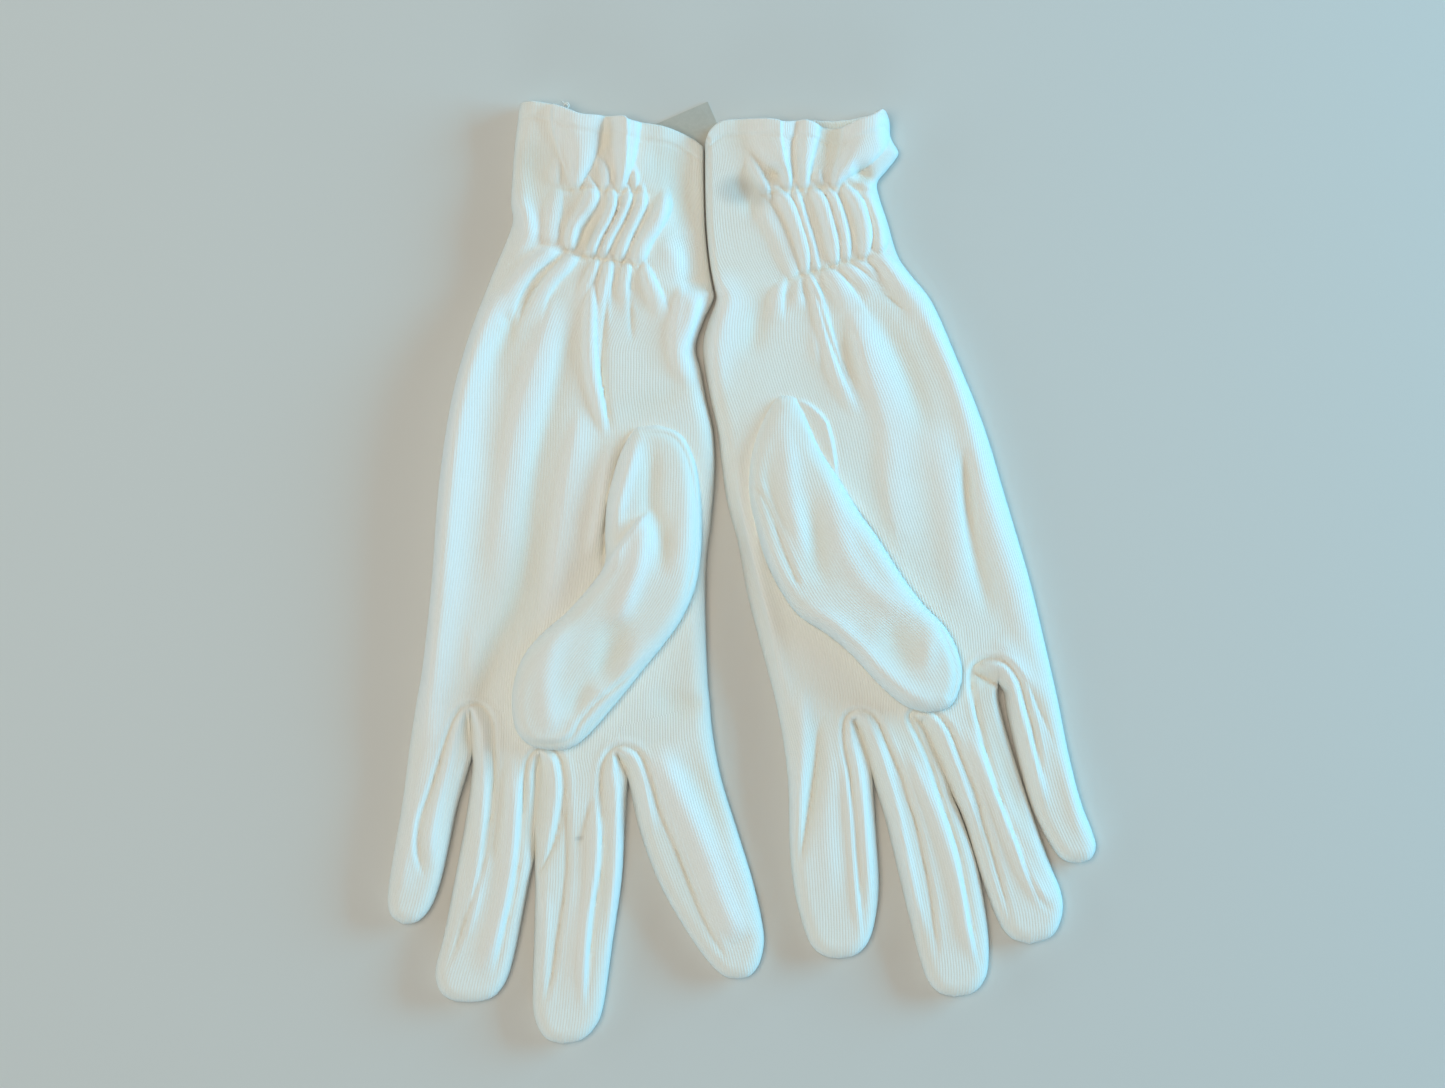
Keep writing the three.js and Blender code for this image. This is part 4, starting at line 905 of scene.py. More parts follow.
def tube(name, rings, painted_shade, material, first_sharp=False, last_sharp=False, stain_and_shadow=None):
    """A closed tube from rings of points (rows, around, 3), with a fan over each end.  The UV runs
    round the ring and along the tube in metres, so that knit follows the cloth.  A sharp end
    meets the next piece of cloth, so its ring is marked sharp and the fan is set lower."""
    first_row, last_row = int(first_sharp), rings.shape[0] - 1 + int(first_sharp)
    if first_sharp:
        rings, painted_shade = level_end(rings, painted_shade, 0)
    if last_sharp:
        rings, painted_shade = level_end(rings, painted_shade, -1)
    rows, around, _ = rings.shape
    faces, corner_rows, corner_cols = ring_faces(rows, around)
    closed = np.concatenate([rings, rings[:, :1]], axis=1)
    round_run = np.cumsum(np.linalg.norm(np.diff(closed, axis=1), axis=2), axis=1)
    round_run = np.concatenate([np.zeros((rows, 1)), round_run], axis=1)
    round_run = even_out(round_run, min(12, rows // 4))
    middle = round_run[:, around // 3][:, None]
    middle_line = rings.mean(axis=1)
    along = np.r_[0, np.cumsum(np.linalg.norm(np.diff(middle_line, axis=0), axis=1))]
    u = (round_run - middle)[corner_rows, corner_cols]
    v = along[corner_rows]
    uv = np.stack([u, v], axis=-1).reshape(-1, 2) * MM
    points = rings.reshape(-1, 3)
    ends = np.stack([rings[0].mean(0), rings[-1].mean(0)])
    first, last = len(points), len(points) + 1
    columns = np.arange(around)
    fan_a = np.stack([np.full(around, first), (columns + 1) % around, columns], axis=1)
    top = (rows - 1) * around
    fan_b = np.stack([np.full(around, last), top + columns, top + (columns + 1) % around], axis=1)
    all_faces = faces.tolist() + fan_a.tolist() + fan_b.tolist()
    fan_uv = np.zeros((2 * around * 3, 2))
    fan_uv[3 * around:] = (0, along[-1] * MM)
    # Each point's fold height: the knit paints shade where it is low.
    values = {"painted_shade": np.r_[painted_shade.ravel(), 0, 0]}
    # Grey marks: a real stain, and painted shadows of the labels inside the cuffs.
    if stain_and_shadow is not None:
        values["stain_and_shadow"] = stain_and_shadow(np.vstack([points, ends]))
    obj = put_mesh(name, np.vstack([points, ends]), all_faces, np.vstack([uv, fan_uv]), values, material)
    pairs = np.zeros(2 * len(obj.data.edges), np.int32)
    obj.data.edges.foreach_get("vertices", pairs)
    pairs = pairs.reshape(-1, 2)
    obj.data.set_sharp_from_angle(angle=math.radians(SHARP_ANGLE))
    sharp = np.zeros(len(pairs), bool)
    if "sharp_edge" in obj.data.attributes:
        obj.data.attributes["sharp_edge"].data.foreach_get("value", sharp)
    else:
        obj.data.attributes.new("sharp_edge", "BOOLEAN", "EDGE")
    on_row = pairs // around
    for flag, row in ((first_sharp, first_row), (last_sharp, last_row)):
        if flag:
            sharp |= (on_row == row).all(1)
    obj.data.attributes["sharp_edge"].data.foreach_set("value", sharp)
    return obj


def join_sides(top, bottom):
    """One ring from the palm side, left to right, and the back side from right to left without
    its own ends."""
    return np.concatenate([top, bottom[:, -2:0:-1]], axis=1)


def two_sides(grid, top, bottom, detail):
    """Rings over a grid of spots (rows, columns, 2) from the palm side's and the back side's
    heights, and each point's fold height, which picks the painted shade.  The back keeps every
    second column."""
    shape = grid.shape[:2]
    palm = np.concatenate([grid, top.reshape(*shape, 1)], axis=2)
    back = np.concatenate([grid, bottom.reshape(*shape, 1)], axis=2)[:, ::2]
    painted_shade = np.concatenate([detail.reshape(shape), np.zeros((shape[0], back.shape[1] - 2))], axis=1)
    return join_sides(palm, back), painted_shade


def finger_shares():
    """Shares across a finger's width, crowded at its edges."""
    return spread(FINGER_COLUMNS, COLUMN_CROWD)


def hand_grid(side, sizes):
    """Spots over a hand: rows from the root line to the rim, columns between the rails.  The first
    row holds the same points as the first rows of the fingers, and the columns even out above."""
    left, right = (through(rail) for rail in RAILS[side]["hand"])
    corners = np.asarray(ROOT_LINE[side], float)
    shares = finger_shares()[:-1, None]
    spans = [a * (1 - shares) + b * shares for a, b in zip(corners, corners[1:])]
    root = np.vstack(spans + [corners[-1:]])
    run = np.r_[0, np.cumsum(np.linalg.norm(np.diff(root, axis=0), axis=1))]
    across = run / run[-1]
    across = 0.7 * np.linspace(0, 1, len(root)) + 0.3 * (0.5 - 0.5 * np.cos(math.pi * across))
    rim_line = through(RIM[side])
    rim_y = np.interp(rim_line[0, 0] + across * (rim_line[-1, 0] - rim_line[0, 0]),
                      rim_line[:, 0], rim_line[:, 1])
    rows = int(HAND_LENGTH / (sizes.cloth_step / MM))
    up = np.linspace(0, 1, rows)[:, None]
    y = root[:, 1] * (1 - up) + rim_y * up

    def edge(line, at):
        return np.interp(at, line[::-1, 1], line[::-1, 0])

    width = edge(right, root[:, 1]) - edge(left, root[:, 1])
    start = (root[:, 0] - edge(left, root[:, 1])) / width
    share = start * (1 - smooth(up * 3)) + across * smooth(up * 3)
    x = edge(left, y) + share * (edge(right, y) - edge(left, y))
    x[0] = root[:, 0]
    return x, y


def stains_and_shadows(side):
    """Grey marks on the palm side, a real stain and painted shadows of the labels inside the
    cuffs: 1 at the middle of each listed mark, fading to its edge.
    """
    def share(points):
        total = np.zeros(len(points))
        for x, y, half_x, half_y, strength in STAINS_AND_SHADOWS[side]:
            out = np.hypot((points[:, 0] - x) / half_x, (points[:, 1] - y) / half_y)
            total = np.maximum(total, strength * smooth(1.4 - out) * (points[:, 2] > MARK_FLOOR))
        return total
    return share


def hand_shell(side, sizes, material):
    """Palm and back of one glove as a tube: up from the finger roots, over the turned rim, and
    down again inside the cuff."""
    x, y = hand_grid(side, sizes)
    spots = np.stack([x.ravel(), y.ravel()], axis=1)
    top, bottom, detail = palm_heights(side, spots, sizes)
    shape = x.shape
    top, bottom, detail = top.reshape(shape), bottom.reshape(shape), detail.reshape(shape)
    from_rim = y[-1] - y
    top += 0.5 * smooth(1 - from_rim / 9) + 0.3 * smooth((4.4 - from_rim) / 0.9)
    top -= 0.3 * bump((from_rim - 4.2) / 0.5)
    palm = np.stack([x, y, top], axis=-1)
    rise = np.interp(x, *np.transpose(BACK_RISE[side])) * smooth((y - (y[-1] - 14)) / 14)
    back = np.stack([x, y + rise, bottom], axis=-1)[:, ::2]
    rings = join_sides(palm, back)
    painted_shade = np.concatenate([detail, np.zeros((shape[0], back.shape[1] - 2))], axis=1)
    return cuffed(side, rings, painted_shade, sizes, material)


def cuffed(side, rings, painted_shade, sizes, material):
    """Adds the rounded rim and the lining to a hand's rings: each lining point is its outer point
    moved inward by the cloth's thickness, square to the ring."""
    thick = sizes.cloth_thickness / MM
    tangent = np.roll(rings, -1, axis=1) - np.roll(rings, 1, axis=1)
    tangent[..., 1] = 0
    inward = np.stack([tangent[..., 2], np.zeros(tangent.shape[:2]), -tangent[..., 0]], axis=-1)
    inward /= np.maximum(np.linalg.norm(inward, axis=2, keepdims=True), 1e-9)
    inward *= np.minimum(1, np.linalg.norm(tangent, axis=2, keepdims=True) / 0.2)
    rim, rim_in = rings[-1], inward[-1]
    turn = np.radians([30, 60, 90, 120, 150, 180])[:, None, None]
    over = rim + rim_in * thick * 0.5 * (1 - np.cos(turn))
    over = over + np.array([0, 1, 0]) * thick * 0.5 * np.sin(turn)
    depth = int(LINING_LENGTH / (sizes.cloth_step / MM))
    lining = (rings + inward * thick)[-2:-depth:-2]
    middle = lining[-1:].copy()
    middle[..., 2] = LINING_END_HEIGHT
    whole = np.concatenate([rings, over, lining, middle])
    # Painted shade: the turned rim keeps the last row's fold shade, and the lining inside the cuff is
    # painted the darkest fold shade.
    shade = np.concatenate([painted_shade, np.repeat(painted_shade[-1:], len(over), axis=0),
                            np.full((len(lining) + 1, painted_shade.shape[1]), -1.5)])
    return tube(f"{side}_hand_cloth", whole, shade, material, first_sharp=True, stain_and_shadow=stains_and_shadows(side))


def finger_shell(side, finger, sizes, material):
    """One finger as a tube from the root line to its tip.  Rows join equal shares of its two
    rails, and crowd toward the tip."""
    left, right = RAILS[side][finger]
    root = ROOT_LINE[side]
    place = FINGERS[side].index(finger)
    ends = [root[place], root[place + 1]]
    lines = []
    for rail, end in zip((left, right), ends):
        line = through(rail)
        if np.linalg.norm(line[0] - end) > 0.5:
            line = np.vstack([np.linspace(end, line[0], 8)[:-1], line])
        lines.append(line)
    length = np.linalg.norm(np.diff(lines[0], axis=0), axis=1).sum()
    rows = int(length / (sizes.cloth_step / MM) * 1.15)
    shares = np.linspace(0, 1, rows)
    shares = shares * 0.86 + 0.14 * np.sin(shares * math.pi / 2)
    shares[-1] = LAST_SHARE
    across = finger_shares()[None, :, None]
    a, b = (at_shares(line, shares)[:, None, :] for line in lines)
    grid = a * (1 - across) + b * across
    spots = grid.reshape(-1, 2)
    rings, painted_shade = two_sides(grid, *palm_heights(side, spots, sizes))
    return tube(f"{side}_{finger}_cloth", rings[::-1], painted_shade[::-1], material, last_sharp=True,
                stain_and_shadow=stains_and_shadows(side))


def thumb_shell(side, sizes, material):
    """One thumb as a tube from the top of its sewn oval to its tip, lying on the palm.  Its lower
    edge rises from the palm at the oval to clear of it along the free part."""
    left, right = (through(rail) for rail in RAILS[side]["thumb"])
    length = np.linalg.norm(np.diff(left, axis=0), axis=1).sum()
    rows = int(length / (sizes.cloth_step / MM))
    shares = 0.5 - 0.5 * np.cos(np.linspace(0.03, math.pi - 0.03, rows))
    shares = 0.5 * shares + 0.5 * np.linspace(shares[0], shares[-1], rows)
    across = spread(THUMB_COLUMNS, COLUMN_CROWD)[None, :, None]
    a, b = (at_shares(line, shares)[:, None, :] for line in (left, right))
    grid = a * (1 - across) + b * across
    spots = grid.reshape(-1, 2)
    far = edge_share(spots, [np.c_[line, np.full(len(line), THUMB_RADIUS)] for line in (left, right)])
    free = np.repeat(smooth((shares - 0.28) / 0.25), THUMB_COLUMNS)
    rise = np.repeat(smooth(shares / 0.5), THUMB_COLUMNS)
    floor = sizes.thumb_floor / MM
    top_height = floor + 1.2 + (sizes.thumb_height / MM - 1.2) * rise
    edge = floor - 1.6 + 2.8 * free
    detail = folds(spots, THUMB_SOFT[side], bump)
    detail += folds(spots, THUMB_LIPS[side], lip)
    detail += seams(spots, THUMB_SEAMS[side], THUMB_SEAM_DEPTH, THUMB_SEAM_WELT)
    detail += 0.15 * waver(spots, 13, 9)
    top = edge + (top_height + detail - edge) * quarter(far)
    bottom = edge - (edge - floor) * quarter(1.6 * far)
    bottom = np.minimum(bottom, top - 0.2 * quarter(1.6 * far))
    rings, painted_shade = two_sides(grid, top, bottom, detail)
    return tube(f"{side}_thumb_cloth", rings[::-1], painted_shade[::-1], material)


# ---------------------------------------------------------------- materials


def linear(hex_colour):
    """An sRGB hex colour as linear red, green, blue and alpha."""
    values = [int(hex_colour[k:k + 2], 16) / 255 for k in (1, 3, 5)]
    return tuple(v / 12.92 if v <= 0.04045 else ((v + 0.055) / 1.055)**2.4 for v in values) + (1,)


def add_node(tree, kind, settings=None, links=None):
    """Adds one node, sets its properties and inputs by name, and links its inputs."""
    node = tree.nodes.new(kind)
    for key, value in (settings or {}).items():
        if isinstance(key, str) and hasattr(node, key):
            setattr(node, key, value)
        else:
            node.inputs[key].default_value = value
    for key, source in (links or {}).items():
        tree.links.new(source, node.inputs[key])
    return node


def new_material(name):
    """An empty node material and its tree."""
    material = bpy.data.materials.new(name)
    material.use_nodes = True
    material.node_tree.nodes.clear()
    return material, material.node_tree


def finish_material(tree, settings, links):
    """Ends a tree in a Principled surface."""
    shader = add_node(tree, "ShaderNodeBsdfPrincipled", settings, links)
    add_node(tree, "ShaderNodeOutputMaterial", links={"Surface": shader.outputs["BSDF"]})


def bands(tree, where, direction, pitch, settings):
    """Even bands across one direction of the UV, a pitch apart in metres."""
    always = {"wave_type": "BANDS", "bands_direction": direction, "wave_profile": "SIN",
              "Scale": WAVE_LENGTH / pitch}
    return add_node(tree, "ShaderNodeTexWave", always | settings, {"Vector": where}).outputs["Fac"]


def knit_material(name, colours, wale_pitch):
    """Brushed nylon warp knit: matte, with fine wales along the length and a soft nap that
    catches light at the edges.  The wales are drawn wider than real ones, so that they show."""
    material, tree = new_material(name)
    where = add_node(tree, "ShaderNodeUVMap", {"uv_map": "UVMap"}).outputs["UV"]
    body = add_node(tree, "ShaderNodeTexCoord").outputs["Object"]
    wales = bands(tree, where, "X", wale_pitch, {"Distortion": 0.25, "Detail": 1.0, "Detail Scale": 2.0})
    courses = bands(tree, where, "Y", wale_pitch * 0.8, {"Distortion": 1.5, "Detail": 1.0})
    nap = add_node(tree, "ShaderNodeTexNoise", {"Scale": 1700.0, "Detail": 3.0, "Roughness": 0.65},
                   {"Vector": body})
    ribs = add_node(tree, "ShaderNodeMath", {"operation": "MULTIPLY", 1: 0.55},
                    {0: wales})
    loops = add_node(tree, "ShaderNodeMath", {"operation": "MULTIPLY_ADD", 1: 0.06},
                     {0: courses, 2: ribs.outputs["Value"]})
    relief = add_node(tree, "ShaderNodeMath", {"operation": "MULTIPLY_ADD", 1: 0.5},
                      {0: nap.outputs["Fac"], 2: loops.outputs["Value"]})
    relief_bump = add_node(tree, "ShaderNodeBump", {"Strength": 0.75, "Distance": 0.00018},
                           {"Height": relief.outputs["Value"]})
    # Painted shade: low fold heights and the cuff's lining take the darker fold colour, raised cloth the
    # cloth colour.
    depth = add_node(tree, "ShaderNodeAttribute", {"attribute_name": "painted_shade"})
    low = add_node(tree, "ShaderNodeMapRange",
                   {"From Min": -1.6, "From Max": 1.8, "To Min": 0.0, "To Max": 1.0,
                    "interpolation_type": "SMOOTHSTEP"}, {"Value": depth.outputs["Fac"]})
    tone = add_node(tree, "ShaderNodeMixRGB", {"Color1": colours.painted_shade, "Color2": colours.cloth},
                    {"Fac": low.outputs["Result"]})
    patch = add_node(tree, "ShaderNodeTexNoise", {"Scale": 28.0, "Detail": 3.0, "Roughness": 0.55},
                     {"Vector": body})
    patch_amount = add_node(tree, "ShaderNodeMapRange",
                            {"From Min": 0.35, "From Max": 0.75, "To Min": 0.0, "To Max": 0.4},
                            {"Value": patch.outputs["Fac"]})
    aged = add_node(tree, "ShaderNodeMixRGB", {"Color2": colours.aged},
                    {"Fac": patch_amount.outputs["Result"], "Color1": tone.outputs["Color"]})
    thread = add_node(tree, "ShaderNodeMath", {"operation": "MULTIPLY", 1: 0.10},
                      {0: wales})
    line_tone = add_node(tree, "ShaderNodeMixRGB", {"Color2": colours.line},
                         {"Fac": thread.outputs["Value"], "Color1": aged.outputs["Color"]})
    # Grey marks: a real stain, and painted shadows of the labels inside the cuffs.
    stain_and_shadow = add_node(tree, "ShaderNodeAttribute", {"attribute_name": "stain_and_shadow"})
    shown = add_node(tree, "ShaderNodeMixRGB", {"Color2": colours.stain_and_shadow},
                     {"Fac": stain_and_shadow.outputs["Fac"], "Color1": line_tone.outputs["Color"]})
    finish_material(tree,
                    {"Roughness": 0.85, "IOR": 1.5, "Specular IOR Level": 0.25, "Sheen Weight": 0.15,
                     "Sheen Roughness": 0.45, "Sheen Tint": (0.85, 0.93, 1.0, 1.0)},
                    {"Base Color": shown.outputs["Color"], "Normal": relief_bump.outputs["Normal"]})
    return material


def woven_material(name, colour, pitch):
    """Narrow woven tape: matte, with ribs across it."""
    material, tree = new_material(name)
    where = add_node(tree, "ShaderNodeUVMap", {"uv_map": "UVMap"}).outputs["UV"]
    ribs = bands(tree, where, "Y", pitch, {"Distortion": 0.4})
    relief = add_node(tree, "ShaderNodeBump", {"Strength": 0.7, "Distance": 0.0002}, {"Height": ribs})
    finish_material(tree, {"Base Color": colour, "Roughness": 0.75, "Specular IOR Level": 0.3},
                    {"Normal": relief.outputs["Normal"]})
    return material


def card_material(name, colour, fibre):
    """Uncoated grey board: matte, with short paper fibres and faint flecks."""
    material, tree = new_material(name)
    body = add_node(tree, "ShaderNodeTexCoord").outputs["Object"]
    pulp = add_node(tree, "ShaderNodeTexNoise", {"Scale": 900.0, "Detail": 5.0, "Roughness": 0.7},
                    {"Vector": body})
    amount = add_node(tree, "ShaderNodeMapRange",
                      {"From Min": 0.4, "From Max": 0.7, "To Min": 0.0, "To Max": 0.5},
                      {"Value": pulp.outputs["Fac"]})
    tone = add_node(tree, "ShaderNodeMixRGB", {"Color1": colour, "Color2": fibre},
                    {"Fac": amount.outputs["Result"]})
    relief = add_node(tree, "ShaderNodeBump", {"Strength": 0.3, "Distance": 0.00005},
                      {"Height": pulp.outputs["Fac"]})
    finish_material(tree, {"Roughness": 0.8, "Specular IOR Level": 0.3},
                    {"Base Color": tone.outputs["Color"], "Normal": relief.outputs["Normal"]})
    return material


# ---------------------------------------------------------------- settings


def length_property(name, description, default, precision=4):
    """A length in metres that shows in the panel."""
    return FloatProperty(name=name, description=description, default=default, unit="LENGTH",
                         precision=precision)


def colour_property(name, description, hex_colour):
    """A colour that shows in the panel, from its sRGB hex text."""
    return FloatVectorProperty(name=name, description=description, subtype="COLOR", size=4,
                               min=0, max=1, default=linear(hex_colour))


class GloveSizes(bpy.types.PropertyGroup):
    """Sizes that a user would change"""

    hand_height: length_property("Hand height", "Back layer to palm layer of the laid hand", 0.0076)
    finger_height: length_property("Finger height", "Height of a laid finger near its root", 0.0072)
    thumb_floor: length_property("Thumb floor", "Height of the underside of the folded thumb", 0.0088)
    thumb_height: length_property("Thumb height", "Thickness of the folded thumb", 0.0062)
    cloth_thickness: length_property("Cloth thickness", "Thickness of the knit at the rim", 0.0011)
    cloth_step: length_property("Cloth step", "Distance between points of the cloth", 0.00062, 5)
    wale_pitch: length_property("Wale pitch", "Distance between the knit's wales", 0.0008, 5)


class GloveColours(bpy.types.PropertyGroup):
    """Colours that a user would change"""

    cloth: colour_property("Cloth", "Colour of the raised cloth", "#F4F4F1")
    # Painted shade: the colour painted into the folds and onto the lining inside the cuff.
    painted_shade: colour_property("Hollows", "Colour in the folds", "#ECEAE0")
    aged: colour_property("Ageing", "Faint yellowing", "#EFEDE6")
    line: colour_property("Wales", "Colour along the knit's wales", "#D5D3CB")
    # Also the colour of the painted shadows of the labels inside the cuffs.
    stain_and_shadow: colour_property("Marks", "Grey marks on the cloth", "#A9ABA8")
    elastic: colour_property("Elastic", "Colour of the wrist elastics", "#E9E6DC")
    label: colour_property("Label", "Colour of the woven labels", "#9A9A98")
    card: colour_property("Card", "Colour of the card tag", "#B9B6AD")
    fibre: colour_property("Card fibres", "Paler fibres in the card", "#C9C6BD")
    floor: colour_property("Floor", "Colour of the studio floor", "#D2D0CC")


# ---------------------------------------------------------------- operators


def knit():
    """The shared knit material, made once."""
    made = bpy.data.materials.get("brushed_nylon_warp_knit")
    if made:
        return made
    return knit_material("brushed_nylon_warp_knit", bpy.context.scene.glove_colours,
                         glove_sizes().wale_pitch)


class GLOVES_OT_hands(bpy.types.Operator):
    """Makes the fingers of both gloves, which meet the hands at their roots"""

    bl_idname = "gloves.hands"
    bl_label = "Hands and cuffs"

    def execute(self, context):
        for side in SIDES:
            hand = hand_shell(side, glove_sizes(), knit())
            webs = [f"{side}_web_{a}_{b}" for a, b in zip(FINGERS[side], FINGERS[side][1:])]
            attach(hand, f"{side}_hand")
            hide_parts(f"{side}_palm_panel", f"{side}_back_panel", *webs)
        return {"FINISHED"}


class GLOVES_OT_fingers(bpy.types.Operator):
    """Makes the fingers of both gloves, which bend at their roots"""

    bl_idname = "gloves.fingers"
    bl_label = "Fingers"

    def execute(self, context):
        for side in SIDES:
            for finger in FINGERS[side]:
                piece = finger_shell(side, finger, glove_sizes(), knit())
                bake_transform(piece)
                nodes = [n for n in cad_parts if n.startswith(f"{side}_{finger}_")]
                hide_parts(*nodes)
        return {"FINISHED"}


class GLOVES_OT_thumbs(bpy.types.Operator):
    """Makes the folded thumbs, sewn into the palms at their ovals"""

    bl_idname = "gloves.thumbs"
    bl_label = "Thumbs"

    def execute(self, context):
        for side in SIDES:
            piece = thumb_shell(side, glove_sizes(), knit())
            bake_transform(piece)
            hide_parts(f"{side}_thumb_root", f"{side}_thumb_stall")
        return {"FINISHED"}


def elastic_strip(side, row, sizes):
    """A flat elastic under the palm's lining, following the shirred row above it."""
    line = through([point[:2] for point in row[1:-1]], 8)
    line = line[edge_share(line, outline_lines(side)) > 1.25]
    run = np.gradient(line, axis=0)
    run /= np.linalg.norm(run, axis=1)[:, None]
    square = np.stack([-run[:, 1], run[:, 0]], axis=1)
    half, thick = ELASTIC_HALF_WIDTH, ELASTIC_THICKNESS
    offsets = np.array([(-half, 0), (-half + 0.2, thick), (half - 0.2, thick), (half, 0)])
    spots = line[:, None, :] + offsets[None, :, :1] * square[:, None, :]
    top = palm_heights(side, line, sizes)[0]
    z = top[:, None] - sizes.cloth_thickness / MM - ELASTIC_DEPTH + offsets[None, :, 1]
    return np.concatenate([spots, z[..., None]], axis=2)


class GLOVES_OT_elastics(bpy.types.Operator):
    """Sews two rows of narrow elastic under the palm side of each wrist"""

    bl_idname = "gloves.elastics"
    bl_label = "Wrist elastics"

    def execute(self, context):
        colour = context.scene.glove_colours.elastic
        material = woven_material("woven_rubber_core_elastic", colour, 0.0007)
        for side in SIDES:
            for row, place in zip(ELASTIC_ROWS[side], ("upper", "lower")):
                rings = elastic_strip(side, row, glove_sizes())
                strip = tube(f"{side}_{place}_elastic_strip", rings, np.zeros(rings.shape[:2]), material)
                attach(strip, f"{side}_hand")
                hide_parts(f"{side}_elastic_{place}")
        return {"FINISHED"}


def label_rings(side):
    """A thin blank woven label lying on the lining of the back layer: rings across its width, one
    after another along its length, with a slight bow."""
    low, high = (np.asarray(corner, float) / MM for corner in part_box(f"{side}_label"))
    centre = 0.5 * (low + high)
    turn = math.radians(LABEL_TURN[side])
    along = np.array([math.cos(turn), math.sin(turn)])
    across = np.array([-math.sin(turn), math.cos(turn)])
    run = np.linspace(-LABEL_HALF_LENGTH, LABEL_HALF_LENGTH, 25)
    half, thick = LABEL_HALF_WIDTH, LABEL_THICKNESS
    offsets = np.array([(-half, 0), (-half + 0.1, thick), (half - 0.1, thick), (half, 0)])
    spots = centre[:2] + run[:, None, None] * along + offsets[None, :, :1] * across
    z = high[2] - 0.1 + 0.25 * np.cos(run[:, None] * 0.35) + offsets[None, :, 1]
    return np.concatenate([spots, z[..., None]], axis=2)


class GLOVES_OT_labels(bpy.types.Operator):
    """Lays a small blank woven label inside each cuff"""

    bl_idname = "gloves.labels"
    bl_label = "Woven labels"

    def execute(self, context):
        material = woven_material("woven_polyester_label", context.scene.glove_colours.label, 0.0005)
        for side in SIDES:
            rings = label_rings(side)
            piece = tube(f"{side}_woven_label", rings, np.zeros(rings.shape[:2]), material)
            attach(piece, f"{side}_hand")
            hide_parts(f"{side}_label")
        return {"FINISHED"}


def thread_rings(points, radius):
    """Rings of six points square to a smooth line through x, y, z rows."""
    line = through(points, 6)
    run = np.gradient(line, axis=0)
    run /= np.linalg.norm(run, axis=1)[:, None]
    flat = np.cross(run, (0, 0, 1))
    flat /= np.linalg.norm(flat, axis=1)[:, None]
    up = np.cross(flat, run)
    turn = np.arange(6) / 6 * math.tau
    thick = np.interp(np.linspace(0, 1, len(line)), (0, 0.15, 0.8, 1), (0.6, 1, 1, 0.35))
    thick = radius * thick[:, None, None]
    return line[:, None, :] + thick * (np.cos(turn)[None, :, None] * flat[:, None, :]
                                       + np.sin(turn)[None, :, None] * up[:, None, :])


class GLOVES_OT_threads(bpy.types.Operator):
    """Adds the loose thread ends at the hems and the side seam"""

    bl_idname = "gloves.threads"
    bl_label = "Loose threads"

    def execute(self, context):
        for side in SIDES:
            for number, points in enumerate(THREADS[side]):
                rings = thread_rings(points, THREAD_RADIUS)
                # A high fold height, so the threads have no painted shade.
                painted_shade = np.full(rings.shape[:2], 1.5)
                piece = tube(f"{side}_thread_end_{number + 1}", rings, painted_shade, knit())
                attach(piece, f"{side}_hand")
        return {"FINISHED"}


class GLOVES_OT_card(bpy.types.Operator):
    """Gives the card tag its paper"""

    bl_idname = "gloves.card"
    bl_label = "Card tag"

    def execute(self, context):
        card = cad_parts["card_tag"]
        colours = context.scene.glove_colours
        card.data.materials.clear()
        card.data.materials.append(card_material("uncoated_grey_board", colours.card, colours.fibre))
        return {"FINISHED"}


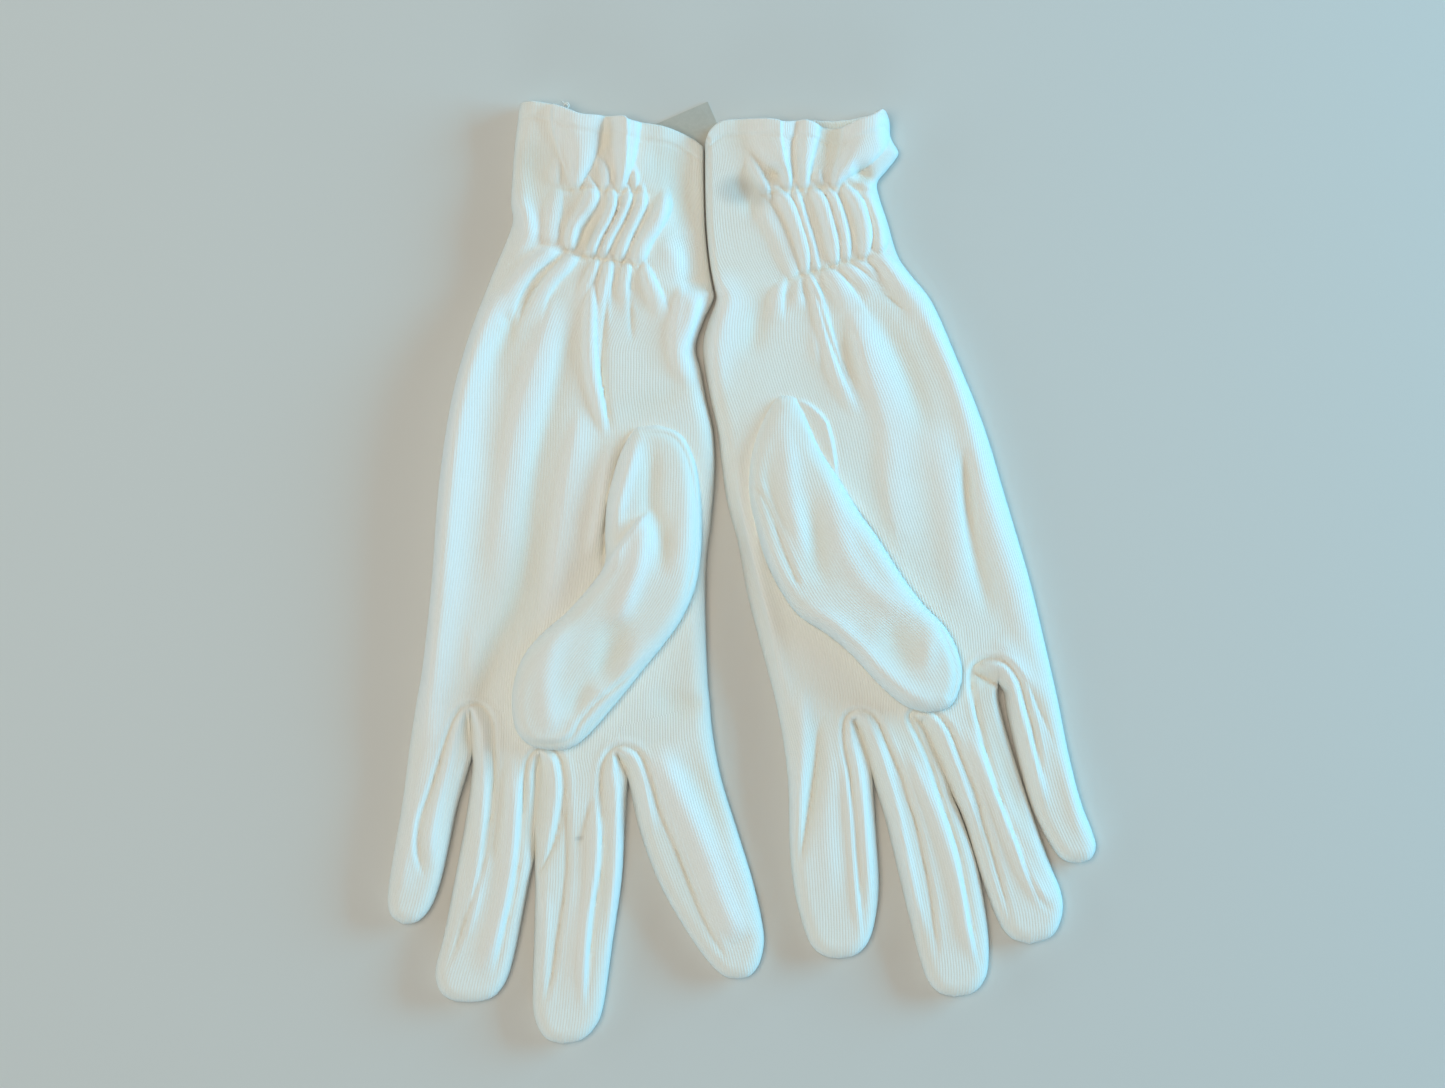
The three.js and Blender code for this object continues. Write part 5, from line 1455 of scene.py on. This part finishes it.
class GLOVES_OT_stage(bpy.types.Operator):
    """Lays the floor, sets the lights and hangs the camera over the gloves"""

    bl_idname = "gloves.stage"
    bl_label = "Studio"

    def execute(self, context):
        corners = np.array([(-1, -1, 0), (1, -1, 0), (1, 1, 0), (-1, 1, 0)]) * float(FLOOR_HALF_SIZE)
        material, tree = new_material("matt_pale_paper")
        finish_material(tree, {"Base Color": context.scene.glove_colours.floor, "Roughness": 0.9}, {})
        floor = put_mesh("studio_floor", corners, [(0, 1, 2, 3)], material=material)
        world = bpy.data.worlds.new("studio_air")
        world.use_nodes = True
        air = world.node_tree.nodes["Background"]
        air.inputs["Color"].default_value = AIR_COLOUR
        air.inputs["Strength"].default_value = AIR_STRENGTH
        context.scene.world = world
        for name, place, size, power, colour in LAMPS:
            light = bpy.data.lights.new(name, "AREA")
            light.shape = "RECTANGLE"
            light.size, light.size_y = size
            light.energy = power
            light.color = colour
            lamp = bpy.data.objects.new(name, light)
            lamp.location = place
            lamp.rotation_euler = (-Vector(place)).to_track_quat("-Z", "Y").to_euler()
            context.scene.collection.objects.link(lamp)
        camera = bpy.data.cameras.new("camera")
        camera.sensor_width = CAMERA_SENSOR
        camera.lens = CAMERA_LENS
        holder = bpy.data.objects.new("camera", camera)
        holder.location = CAMERA_PLACE
        context.scene.collection.objects.link(holder)
        context.scene.camera = holder
        context.scene.view_settings.view_transform = "Standard"
        return {"FINISHED"}


class GLOVES_PT_panel(bpy.types.Panel):
    """Lists the pieces of the pair"""

    bl_label = "Gathered knit gloves"
    bl_idname = "GLOVES_PT_panel"
    bl_space_type = "VIEW_3D"
    bl_region_type = "UI"
    bl_category = "Gloves"

    def draw(self, context):
        for operator in OPERATORS:
            self.layout.operator(operator.bl_idname)
        for group in (context.scene.glove_sizes, context.scene.glove_colours):
            box = self.layout.box()
            for key in group.__annotations__:
                box.prop(group, key)


OPERATORS = (GLOVES_OT_hands, GLOVES_OT_fingers, GLOVES_OT_thumbs, GLOVES_OT_elastics,
             GLOVES_OT_labels, GLOVES_OT_threads, GLOVES_OT_card, GLOVES_OT_stage)
CLASSES = (GloveSizes, GloveColours) + OPERATORS + (GLOVES_PT_panel,)


def register():
    """Adds the classes and the two settings groups of a scene."""
    for cls in CLASSES:
        bpy.utils.register_class(cls)
    bpy.types.Scene.glove_sizes = PointerProperty(type=GloveSizes)
    bpy.types.Scene.glove_colours = PointerProperty(type=GloveColours)


def unregister():
    """Takes them away again."""
    del bpy.types.Scene.glove_colours
    del bpy.types.Scene.glove_sizes
    for cls in reversed(CLASSES):
        bpy.utils.unregister_class(cls)


def main():
    """Makes the studio and every piece in order."""
    register()
    bpy.ops.gloves.stage()
    bpy.ops.gloves.hands()
    bpy.ops.gloves.fingers()
    bpy.ops.gloves.thumbs()
    bpy.ops.gloves.elastics()
    bpy.ops.gloves.labels()
    bpy.ops.gloves.threads()
    bpy.ops.gloves.card()


if __name__ == "__main__":
    main()
